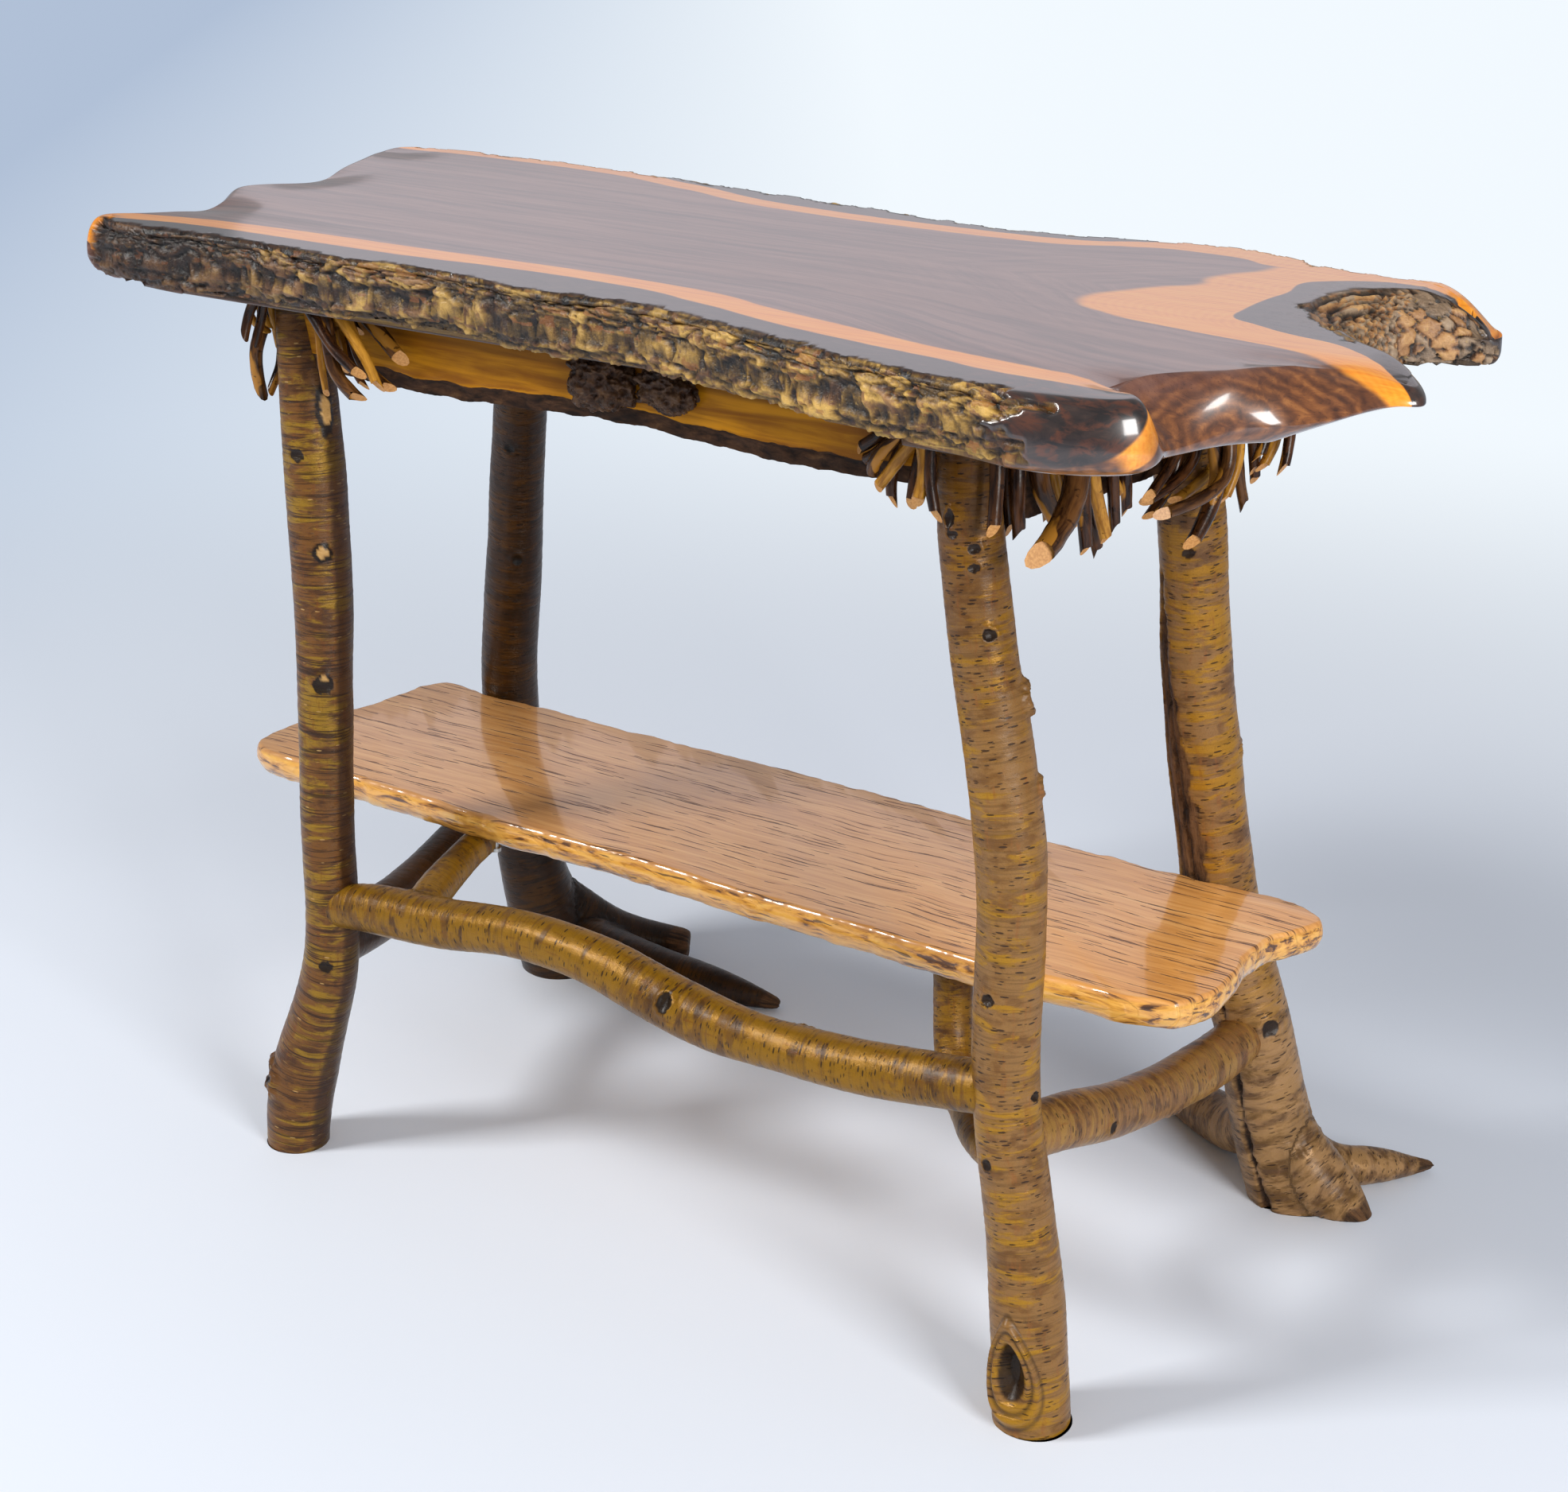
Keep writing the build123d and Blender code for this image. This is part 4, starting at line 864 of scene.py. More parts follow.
slab_outline = Outline(SLAB_EDGE, EDGE_COUNT)
below, above, widest, square, barked = np.array(SLAB_EDGE, float)[:, 2:].T


def slab_ring(inset, line, drop=0.0):
    """A ring at an inset, its height a line that drops by a share of the way to the underside."""
    ring = slab_outline.spread(slab_outline.spots + slab_outline.inward * inset[:, None])
    height = line - (line - slab_under(*ring.T)) * drop
    height = height - slab_hollow(*ring.T) * np.clip((height - HOLLOWS_FROM) / HOLLOWS_FADE, 0, 1)
    return placed(np.column_stack([ring, height]))


widest_line = slab_outline.spread(widest)
rings = [slab_ring(below * (1 - math.cos(angle)), widest_line, -math.sin(angle))
         for angle in np.radians(np.linspace(-90, 0, LOWER_RINGS + 1)[:-1])]
for angle in np.radians(np.linspace(0, 90, UPPER_RINGS)):
    crown = slab_outline.spread(widest + (SLAB_TOP - widest) * math.sin(angle) ** square)
    rings.append(slab_ring(above * (1 - math.cos(angle) ** square), np.minimum(crown, SLAB_TOP)))
# rings on the flat top carry the bark's upper border, close to the edge at the polished ends
slab_middle, long_side = 32, 473
at_ends = np.abs(slab_outline.spots[:, 0] - slab_middle) > long_side
rim = np.minimum(0.2 + 0.8 * barked, np.where(at_ends, 0.35, 1.0))
rings += [slab_ring(above + further * rim, SLAB_TOP) for further in (2.0, 4.5, 7.5, 11.0)]
slab, level, step = ring_solid("top_slab_wood", rings)

# the two flat faces are cut into strips near the carved ends, and the ends are hollowed
base = len(slab.data.vertices)
flat_faces = slab.vertex_groups.new(name="flat")
flat_faces.add(np.flatnonzero((level == 0) | (level == len(rings) - 1)).tolist(), 1.0, "REPLACE")
crosswise = (*range(-440, -379, 12), -366, -350, 400, 416, 430, *range(442, 491, 12), 500,
             *range(510, 571, 12))
cuts = [((x, 0), (1, 0, 0)) for x in crosswise] + [((0, y), (0, 1, 0)) for y in range(-250, 190, 14)]
bpy.ops.object.mode_set(mode="EDIT")
bpy.ops.mesh.select_mode(type="VERT")
for (x, y), way in cuts:
    bpy.ops.mesh.select_all(action="DESELECT")
    bpy.ops.object.vertex_group_select()
    bpy.ops.mesh.bisect(plane_co=placed(np.array([x, y, SLAB_TOP])).tolist(), plane_no=way)
bpy.ops.mesh.select_all(action="DESELECT")
bpy.ops.object.mode_set(mode="OBJECT")
slab.vertex_groups.clear()
spots = corners(slab)
added = len(spots) - base
level = np.concatenate([level, np.full(added, len(rings))])
step = np.concatenate([step, np.zeros(added, int)])
x, y = (spots[:, 0] - LEG_CENTRE.x) / MM, (spots[:, 1] - LEG_CENTRE.y) / MM
upper = spots[:, 2] > (SLAB_TOP - 10) * MM
new_top, new_under = (level == len(rings)) & upper, (level == len(rings)) & ~upper
spots[new_top, 2] = (SLAB_TOP - slab_hollow(x[new_top], y[new_top])) * MM
spots[new_under, 2] = slab_under(x[new_under], y[new_under]) * MM
set_corners(slab, spots)


def flake(u, v, block):
    """Height and own tone of the bark: long flakes, or square blocks where block is 1."""
    warp = noise.noise(Vector((u * 40, v * 60, 2.0)))
    drift = noise.noise(Vector((u * 33, v * 52, 9.0)))
    bend = 1 - 0.5 * block
    spot = Vector((u * (30 + 48 * block) + 0.6 * warp * bend, v * 86 + 0.7 * drift * bend, 0.3))
    (near, far, *_), seeds = noise.voronoi(spot)
    chip_spot = Vector((u * 105 + 1.2 * warp, v * 210 + 1.2 * drift, 4.7))
    (chip_near, chip_far, *_), chip_seeds = noise.voronoi(chip_spot)
    own = 0.5 + 0.5 * math.sin(seeds[0].x * 12.9898 + seeds[0].y * 78.233)
    chip_own = 0.5 + 0.5 * math.sin(chip_seeds[0].x * 41.3 + chip_seeds[0].y * 29.7)
    crack = min(1.0, (far - near) / (0.17 - 0.05 * block))
    chip_crack = min(1.0, (chip_far - chip_near) / 0.25)
    ledge = abs(noise.noise(Vector((u * 24 + 0.8 * drift, v * 150 + 0.9 * warp, 6.0))))
    crumb = noise.fractal(Vector((u * 170, v * 260, 1.0)), 0.7, 2.1, 4)
    flaky = (0.34 * own + 0.22 * chip_own * chip_crack + 0.20) * (0.25 + 0.75 * crack)
    flaky += 0.34 * min(1.0, ledge * 3.2) + 0.15 * crumb
    blocks = (0.22 * own + 0.62) * crack ** 0.6 + 0.10 * crumb + 0.05 * chip_own
    return flaky * (1 - block) + blocks * block, (own * 7.3 + chip_own * (1 - block)) % 1.0


normals = corner_normals(slab)
arc = slab_outline.girth * MM * step / EDGE_COUNT
run_up = np.cumsum(np.linalg.norm(np.diff(np.array(rings), axis=0), axis=2), axis=0)
run_up = np.concatenate([np.zeros((1, EDGE_COUNT)), run_up])
run_up = np.concatenate([run_up - run_up[LOWER_RINGS], np.full((1, EDGE_COUNT), 1.0)])
lay = rows_of(arc, run_up[level, step])
in_band = level < len(rings)
blocky = np.clip((x - 470) / 20, 0, 1) * np.clip((y + 5) / 25, 0, 1)
ragged = noisy(lay, (52, 40, 1), 5.0, 4)
fade_out = noisy(lay, (30, 60, 1), 8.0, 3)
bark_along = slab_outline.spread(barked)[step]
cover = np.clip((bark_along + 0.35 * fade_out - 0.38) / 0.10, 0, 1) * in_band
past_rim = lay[:, 1] - run_up[LOWER_RINGS + UPPER_RINGS - 1][step]
cover *= np.clip((0.0015 + 0.0060 * ragged * (1 - 0.6 * blocky) - past_rim) / 0.0008, 0, 1)
rim_depth = np.clip(-past_rim / 0.005, 0.22, 1)
relief, plate = np.ones(len(arc)), np.zeros(len(arc))
for number in np.flatnonzero(cover > 0):
    relief[number], plate[number] = flake(lay[number, 0], lay[number, 1], blocky[number])
relief = np.clip(relief, 0, 1)
lumps = 0.5 + 0.5 * noisy(lay, (19, 12, 1), 2.0, 2)
soft = np.clip(noisy(lay, (16, 24, 1), 3.0), 0, 1) * (spots[:, 2] < (SLAB_TOP - 5) * MM)
spots -= normals * (cover * rim_depth * ((1 - relief) * 7.5 + lumps * 4.0 * (1 - blocky)) * MM)[:, None]
spots -= normals * ((1 - cover) * soft * 1.2 * MM * in_band)[:, None]
low_box, high_box = [np.array(corner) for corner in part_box("top_slab")]
set_corners(slab, np.clip(spots, low_box, high_box))
store(slab, "edge", lay)
store(slab, "bark_mask", rows_of(cover, relief, plate))
bpy.ops.object.shade_smooth()


def heartwood(wood, spot, x, y, z, wander):
    """Long streaks that part before the fork, dark pores, and a redder carved end."""
    deep = SLAB_TOP - z
    part = 1 + x.fade(120, 470) * 0.9
    flow = wood.vector(x * 0.006, y * 0.11 / part + wander * 0.12, z * 0.05)
    streaks = wood.cloud(flow, 1.0, 5, 0.62, 0.35)
    feather = wood.vector((x - abs(y - 22) * 1.25) * 0.085 + wander * 0.3, y * 0.012, z * 0.02)
    arcs = wood.cloud(feather, 1.0, 4, 0.6, 0.6)
    near_fork = x.fade(40, 300) * (1 - x.fade(330, 420)) * (1 - (abs(y - 10) - x * 0.25).fade(-20, 50))
    figure = streaks * (1 - near_fork * 0.6) + arcs * near_fork * 0.6
    heart = wood.tones(figure, (0.30, (0.055, 0.020, 0.015)), (0.45, (0.125, 0.053, 0.041)),
                       (0.56, (0.185, 0.086, 0.066)), (0.72, (0.26, 0.130, 0.098)))
    # the carved end cuts a burl: rings round a knot
    away = wood.vector_maths("LENGTH", wood.vector((x - 488) * 0.8, y + 166, (z - 736) * 1.5))
    grown = wood.maths("SINE", away * 0.62 + wood.cloud(spot, 0.022, 3, 0.55, 0.5) * 22) * 0.5 + 0.5
    carved = wood.tones(grown * 0.20 + wood.grain(spot, (0.05, 0.11, 0.16), 4, 0.62, 1.2) * 0.82,
                        (0.30, (0.060, 0.018, 0.007)), (0.48, (0.130, 0.042, 0.013)),
                        (0.62, (0.22, 0.075, 0.020)), (0.84, (0.38, 0.150, 0.040)))
    at_end = (x + (0 - y) * 0.42 + deep * 1.6).fade(500, 580) * (1 - y.fade(-40, 0))
    heart = wood.blend(at_end, heart, carved)
    pores = wood.grain(spot, (0.045, 1.3, 1.3), 2, 0.6)
    return wood.blend(pores.fade(0.60, 0.72) * 0.55, heart, (0.018, 0.007, 0.006))


def edge_bark(wood, x, y, relief, plate, crust, crumbs):
    """Bark with dark cracks, brown plates, and olive and gold crusts, toned by its relief with painted shade,
    and painted darker to the left and lighter to the right.
    """
    # painted shade: the tones follow the relief, near black in the cracks and lighter on the raised plates
    shade = (relief * 0.75 + crumbs * 0.30 + 0.02).least(1.0)
    plates = wood.tones(shade, (0.36, (0.003, 0.001, 0.001)), (0.54, (0.028, 0.011, 0.005)),
                        (0.70, (0.105, 0.046, 0.017)), (0.92, (0.28, 0.145, 0.055)))
    olive = wood.tones(shade, (0.34, (0.005, 0.003, 0.002)), (0.52, (0.080, 0.043, 0.010)),
                       (0.68, (0.26, 0.150, 0.032)), (0.88, (0.52, 0.32, 0.085)))
    grey = wood.tones(shade, (0.34, (0.006, 0.004, 0.003)), (0.52, (0.055, 0.036, 0.024)),
                      (0.68, (0.19, 0.130, 0.088)), (0.88, (0.36, 0.26, 0.18)))
    rust = wood.tones(shade, (0.34, (0.008, 0.004, 0.002)), (0.52, (0.080, 0.036, 0.016)),
                      (0.68, (0.26, 0.130, 0.055)), (0.88, (0.46, 0.27, 0.12)))
    grey = wood.blend((plate - 0.45).fade(0, 0.1), grey, rust)
    crusted = (plate * 0.45 + crust * 0.9 + x.fade(-380, 60) * 0.14).fade(0.62, 0.84)
    bark = wood.blend(crusted * (0.15 + x.fade(-400, -150) * 0.85), plates, olive)
    bark = wood.blend((plate - 0.86).fade(0, 0.04) * 0.6, bark, (0.22, 0.075, 0.02))
    bark = wood.blend(x.fade(425, 450) * y.fade(-10, 20), bark, grey)
    dots = (0.30 - wood.cells(wood.kept("edge"), 150)).fade(0, 0.1) * crumbs.fade(0.5, 0.6)
    bark = wood.blend(dots * 0.5, bark, (0.35, 0.22, 0.06))
    # painted light: the bark is darkened towards the left end and lightened towards the right, as the light
    # falls across the table
    bark = wood.blend((1 - x.fade(-430, -150)) * 0.9, bark, (0.40, 0.35, 0.32), "MULTIPLY")
    return wood.blend(x.fade(-60, 260) * 0.5, bark, (1.6, 1.55, 1.3), "MULTIPLY")


def slab_finish():
    """Dark heartwood between orange sapwood stripes, inner bark, and flaky bark at the edges."""
    wood = Finish("slab_wood", roughness=0.3, coat=1.0, coat_roughness=0.10)
    spot = wood.table_place()
    x, y, z = wood.parts(spot)
    deep = SLAB_TOP - z
    wander = (wood.cloud(spot, 0.012, 3, 0.55) - 0.5) * 9 + (wood.cloud(spot, 0.08, 2, 0.5) - 0.5) * 2.2

    def line(value, *points):
        """A drawn line: its height at a value, through points."""
        low_x, high_x = points[0][0], points[-1][0]
        low_y, high_y = min(p[1] for p in points), max(p[1] for p in points)
        made = wood.tree.nodes.new("ShaderNodeFloatCurve")
        curve = made.mapping.curves[0]
        places = [((px - low_x) / (high_x - low_x), (py - low_y) / (high_y - low_y)) for px, py in points]
        curve.points[0].location, curve.points[1].location = places[0], places[-1]
        for place in places[1:-1]:
            curve.points.new(*place)
        made.mapping.update()
        wood.feed(made.inputs["Value"], (value - low_x) / (high_x - low_x))
        return Field(wood, made.outputs[0]) * (high_y - low_y) + low_y

    def over(value, edge, soft=1.6):
        """1 where a value is past an edge, with a soft border."""
        return (value - edge).fade(-soft, soft)

    # the sapwood stripes along both edges, each between an outer and an inner line
    front = y + deep * 0.9 + wander * 0.5
    front_outer = line(x, (-470, -196), (-419, -188), (-321, -173), (-172, -171), (2, -161), (100, -174),
                       (170, -193), (263, -211), (318, -218), (380, -227), (430, -227), (600, -227))
    front_inner = line(x, (-470, -176), (-432, -170), (-284, -148), (-166, -145), (-40, -140), (73, -143),
                       (150, -160), (242, -181), (340, -199), (420, -206), (600, -206))
    front_sap = over(front, front_outer) * (1 - over(front, front_inner)) * (1 - over(x, 474.0, 7))
    front_sap = front_sap * (1 - deep.fade(26, 36) * (1 - x.fade(458, 468)))
    back = y - deep * 0.9 + wander * 0.5
    back_inner = line(x, (-470, 158), (-436, 161), (-286, 165), (-132, 142), (53, 113), (190, 118),
                      (264, 141), (330, 152), (372, 140), (430, 136), (600, 136))
    back_outer = line(x, (-470, 178), (-436, 179), (-286, 184), (-132, 161), (53, 132), (190, 137),
                      (264, 161), (340, 181), (380, 172), (420, 158), (460, 154), (490, 150), (600, 150))
    back_sap = over(back, back_inner) * (1 - over(back, back_outer))

    # the sapwood before the fork, between its own two lines, and the bark in the fork
    fork_in = line(y + wander * 0.8, (-140, 585), (-131, 568), (-113, 550), (-86, 509), (-75, 475),
                   (-66, 406), (-55, 354), (-23, 313), (21, 330), (39, 342), (62, 361), (79, 357),
                   (98, 363), (125, 379), (190, 379))
    fork_out = line(y + wander * 0.5, (-130, 640), (-112, 604), (-98, 572), (-74, 542), (-49, 505),
                    (-42, 477), (-28, 441), (-16, 420), (5, 417), (42, 417), (68, 420), (101, 417),
                    (115, 428), (142, 489), (150, 560), (190, 600))
    slanted = fork_in + deep * (0.2 + 1.3 * (0 - y).fade(95, 112))
    fork_bark = over(x, fork_out, 1.2)
    fork_sap = over(x + wander * 0.6, slanted, 6.0) * (1 - fork_bark)
    sap = front_sap.most(back_sap).most(fork_sap).least(1.0)
    inner_bark = (1 - over(front, front_outer)).most(over(back, back_outer)).most(fork_bark) * (1 - sap)

    sap_rings = wood.maths("SINE", (x - fork_in) * 0.9 + wander * 1.5) * 0.5 + 0.5
    sap_grain = wood.grain(spot, (0.02, 0.35, 0.35), 4, 0.6, 0.5) * 0.92 + sap_rings * 0.08 * x.fade(280, 330)
    sapwood = wood.tones(sap_grain, (0.28, (0.80, 0.230, 0.008)), (0.5, (0.95, 0.330, 0.016)),
                         (0.75, (0.98, 0.42, 0.038)))
    rind = wood.grain(spot, (0.05, 0.12, 0.12), 4, 0.65, 0.8)
    inner = wood.tones(rind, (0.35, (0.010, 0.006, 0.006)), (0.55, (0.030, 0.017, 0.014)),
                       (0.75, (0.065, 0.032, 0.022)))
    shells = wood.cells(wood.stretch(spot, (0.022, 0.03, 0.03)))
    ripple = wood.maths("SINE", shells * 26 + rind * 9) * 0.5 + 0.5
    nose = x.fade(330, 400) * (1 - y.fade(-120, -80))
    ripple = ripple.fade(0.35, 0.9) * rind.fade(0.35, 0.62) * nose
    inner = wood.blend(ripple * 0.7, inner, (0.115, 0.030, 0.010))
    colour = wood.blend(sap, heartwood(wood, spot, x, y, z, wander), sapwood)
    colour = wood.blend(inner_bark, colour, inner)
    flecks = wood.grain(spot, (0.09, 0.30, 0.30), 4, 0.7, 1.2, (0, 3, 0))
    pocket = fork_bark * (x + (y - 60) * 0.25).fade(425, 470) * (1 - abs(y - 60).fade(55, 80))
    fleck = (flecks - (0.60 - pocket * 0.10)).fade(0, 0.025) * fork_bark * x.fade(424, 444)
    colour = wood.blend(fleck * 0.85, colour, (0.006, 0.004, 0.003))
    colour = wood.blend(pocket * flecks.fade(0.42, 0.56) * 0.6, colour, (0.15, 0.085, 0.045))
    raw = wood.tones(wood.grain(spot, (0.02, 0.3, 0.3), 3, 0.6), (0.35, (0.050, 0.022, 0.010)),
                     (0.7, (0.12, 0.055, 0.024)))
    colour = wood.blend(deep.fade(47.2, 47.8), colour, raw)

    cover, relief, plate = wood.parts(wood.kept("bark_mask"))
    crust = wood.cloud(wood.kept("edge"), 60, 4, 0.65, 0.4)
    crumbs = wood.cloud(wood.kept("edge"), 420, 3, 0.7)
    colour = wood.blend(cover, colour, edge_bark(wood, x, y, relief, plate, crust, crumbs))
    height = crust * 0.5 * cover + crumbs * 0.35 * cover - fleck * 0.25 * (1 - cover)
    return wood.wear(Base_Color=colour, Roughness=0.30 + 0.22 * crumbs * cover,
                     Coat_Weight=1.0 - 0.97 * (cover * 4).least(1.0), Normal=wood.bumps(height, 0.0026, 1.0))


slab.data.materials.append(slab_finish())
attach(slab, "root")
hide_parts("top_slab")


# ---- Shelf ---------------------------------------------------------------------------
# A thinner live-edge board of pale wood with dark lengthwise flecks. It is notched round the
# back legs, rests on the fork and the knee, and is varnished like the slab.

SHELF_TOP = 287.0
SHELF_EDGE = [
    (-462, -43), (-405, -57), (-300, -59), (-180, -63), (-60, -61), (80, -67), (180, -68),
    (280, -71), (370, -63), (425, -49), (440, -13), (436, 39), (438, 89), (455, 135), (438, 151),
    (395, 157), (330, 155), (220, 154), (140, 159), (40, 162), (-110, 163), (-220, 162),
    (-315, 164), (-380, 164), (-424, 165), (-438, 129), (-446, 69), (-466, 9)]
SHELF_COUNT, SHELF_RINGS = 1000, 17   # corners round the edge, and rings from top to bottom

shelf_outline = Outline(SHELF_EDGE, SHELF_COUNT)
girth = shelf_outline.girth * np.arange(SHELF_COUNT) / SHELF_COUNT
ragged = noisy(rows_of(girth), (0.035, 1, 1), 8.0, 3)
wavy = noisy(rows_of(girth), (0.012, 1, 1), 2.0, 2)
inward = shelf_outline.spread(shelf_outline.inward)
inward /= np.linalg.norm(inward, axis=1)[:, None]
edge = shelf_outline.spread(shelf_outline.spots)
half = (SHELF_TOP - SHELF_UNDERSIDE) / 2
rings = []
for angle in np.radians(np.linspace(-90, 90, SHELF_RINGS)):
    inset = (5.5 + 2.5 * ragged) * (1 - np.cos(angle) ** 0.8) + 1.2 + 1.4 * np.clip(ragged, -0.8, 1)
    inset = np.maximum(inset, 0.0) + max(0.0, 3.0 * math.sin(-angle))
    height = SHELF_TOP - half + half * np.sin(angle) + 1.6 * wavy * np.cos(angle)
    rings.append(placed(np.column_stack([edge + inward * inset[:, None], height])))
shelf, level, step = ring_solid("shelf_wood", rings)
for leg_name in ("back_leg_right", "back_leg_left"):
    round_leg = Route(leg_stations(leg_name, LEG_BENDS[leg_name], wider=1.4), 0.01)
    notch = bent_limb("notch", round_leg, 48, 0.01)
    apply_modifier(shelf, "BOOLEAN", operation="DIFFERENCE", object=notch, solver="EXACT")
    bpy.data.objects.remove(notch)
pick(shelf)
bpy.ops.object.shade_smooth_by_angle(angle=math.radians(40))


def shelf_finish():
    """Pale varnished board with dark lengthwise flecks, painted lighter and warmer to the right, and a golden
    rim.
    """
    pecky = Finish("shelf_wood", roughness=0.3, coat=0.9, coat_roughness=0.08)
    spot = pecky.table_place()
    x, y, z = pecky.parts(spot)
    lines = pecky.vector(x, y + (pecky.cloud(spot, 0.010, 2, 0.5) - 0.5) * 16, z * 0.4)

    def dashes(long, wide, share, width, seed):
        """Short dark lengthwise flecks, one to some of the cells of a stretched grid."""
        grid = pecky.stretch(lines, (1 / long, 1 / wide, 0.02), (seed, seed * 1.7, 0))
        cell = pecky.cells(grid, random=0.9)
        chosen = pecky.parts(cell.also("Color"))[0].fade(1 - share, 1 - share + 0.08)
        ragged_edge = pecky.grain(lines, (0.12, 0.7, 0.5), 3, 0.6)
        length, across = [abs(own - middle) for own, middle in
                          zip(pecky.parts(grid)[:2], pecky.parts(cell.also("Position"))[:2])]
        thin = width - across - (ragged_edge - 0.5) * width * 1.6 - length * width * 1.3
        return thin.fade(0.0, width * 0.5) * chosen

    grain = pecky.grain(lines, (0.012, 0.30, 0.3), 5, 0.6, 0.3)
    tone = grain * 0.7 + pecky.grain(lines, (0.004, 0.03, 0.03), 3, 0.55) * 0.3
    board = pecky.tones(tone, (0.34, (0.47, 0.200, 0.055)), (0.5, (0.60, 0.285, 0.090)),
                        (0.66, (0.72, 0.38, 0.135)))
    painted_lit_end = pecky.tones(tone, (0.34, (0.66, 0.270, 0.055)), (0.5, (0.84, 0.380, 0.095)),
                       (0.66, (0.94, 0.48, 0.150)))
    # painted light: the board is brighter towards its right end, where the right lamp falls on it, and warmer
    # in tone
    board = pecky.blend(x.fade(60, 430) * 0.8, board, painted_lit_end)
    fleck = dashes(46, 10.5, 0.56, 0.085, 1.3).most(dashes(28, 9.0, 0.22, 0.085, 4.1))
    fleck = fleck.most(dashes(70, 21, 0.50, 0.055, 7.7)).least(1.0)
    board = pecky.blend(fleck * 0.88, board, (0.065, 0.022, 0.010))
    halo = dashes(46, 10.5, 0.56, 0.19, 1.3)
    board = pecky.blend(halo * 0.20, board, (0.34, 0.13, 0.04))
    side = (SHELF_TOP - z).fade(1.2, 4.5)
    rim = pecky.grain(spot, (0.03, 0.1, 0.16), 4, 0.62, 0.6)
    rim = pecky.tones(rim, (0.36, (0.10, 0.038, 0.014)), (0.42, (0.50, 0.21, 0.035)),
                      (0.52, (0.78, 0.38, 0.065)), (0.72, (0.90, 0.52, 0.12)))
    slots = pecky.grain(spot, (0.035, 0.1, 0.35), 2, 0.5, 0.3, (7, 1, 3))
    rim = pecky.blend(slots.fade(0.64, 0.68) * 0.8, rim, (0.045, 0.017, 0.007))
    height = (0 - fleck) * 0.6 - slots.fade(0.62, 0.66) * side * 0.8 + grain * 0.08
    return pecky.wear(Base_Color=pecky.blend(side, board, rim), Roughness=0.28 + 0.25 * fleck,
                      Coat_Weight=0.9 - 0.5 * fleck, Normal=pecky.bumps(height, 0.0012, 0.7))


shelf.data.materials.append(shelf_finish())
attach(shelf, "root")
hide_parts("shelf")


# ---- Aprons --------------------------------------------------------------------------
# Sawn boards under the slab, tenoned into the legs. Their faces are golden wood, and their
# lower edges keep the dark wavy bark of the tree.

APRON_CORNERS = {"front_leg_left": (-289.1, -135.1), "front_leg_right": (299.6, -147.3),
                 "back_leg_right": (302.9, 136.2), "back_leg_left": (-297.4, 139.0)}
APRON_THICKNESS = 20.0
APRON_GAP = 9.0              # from the middle of the leg to the board's end
GRID_LENGTH, GRID_HEIGHT = 2.6, 2.4   # size of the board's faces
LONG_WAVE = [(0.0, 2), (0.22, -3), (0.4, 1), (0.58, 3), (0.75, -2), (1.0, 3)]
# from leg, to leg, height, wave of the lower edge, depth of the bark strip, face tone, vein tone
APRONS = {
    "front_apron": ("front_leg_left", "front_leg_right", 56, LONG_WAVE, 13,
                    (0.56, 0.230, 0.006), (0.26, 0.088, 0.004)),
    # the right apron's tones are painted shade: the golden board, darkened where it lies in shade under the
    # slab
    "right_apron": ("front_leg_right", "back_leg_right", 98,
                    [(0.0, 16), (0.35, 4), (0.7, -4), (1.0, -10)], 24,
                    (0.085, 0.034, 0.006), (0.036, 0.013, 0.003)),
    "back_apron": ("back_leg_right", "back_leg_left", 58, LONG_WAVE, 13,
                   (0.58, 0.250, 0.012), (0.28, 0.100, 0.007)),
    "left_apron": ("back_leg_left", "front_leg_left", 58,
                   [(0.0, -4), (0.3, 2), (0.6, -2), (1.0, 4)], 12,
                   (0.46, 0.190, 0.012), (0.20, 0.070, 0.006)),
}


def apron_frame(name):
    """Start, direction, inward direction and length of an apron's middle line."""
    start, end = [np.array([*APRON_CORNERS[leg], SLAB_UNDERSIDE]) for leg in APRONS[name][:2]]
    run = (end - start) / np.linalg.norm(end - start)
    return start, run, np.array([-run[1], run[0], 0.0]), np.linalg.norm(end - start)


def apron_finish(name, face, vein):
    """Golden board with a painted shadow of the slab across its top, over a strip of dark bark."""
    board = Finish(name, roughness=0.32, gloss=0.12)
    lay = board.kept("board")
    _, up, strip = board.parts(lay)
    grain = board.grain(lay, (9, 130, 1), 5, 0.6, 0.5)
    blotch = board.grain(lay, (14, 30, 1), 3, 0.5)
    colour = board.blend((grain * 0.7 + blotch * 0.3).fade(0.38, 0.66), vein, face)
    # painted shadow: the top of the face is darkened where the slab above shades it
    upper = (up + (blotch - 0.5) * 0.006).fade(-0.027, -0.022)
    colour = board.blend(upper * 0.75, colour, shaded(vein, 0.6))
    rough_bark = board.grain(lay, (60, 160, 1), 4, 0.65, 0.5)
    bark = board.tones(rough_bark, (0.36, (0.012, 0.006, 0.004)), (0.6, (0.055, 0.025, 0.012)),
                       (0.8, (0.12, 0.06, 0.025)))
    height = rough_bark * strip * 0.9 + grain * 0.12
    return board.wear(Base_Color=board.blend(strip.fade(0.40, 0.55), colour, bark),
                      Roughness=0.40 + 0.2 * strip, Normal=board.bumps(height, 0.0012, 0.6))


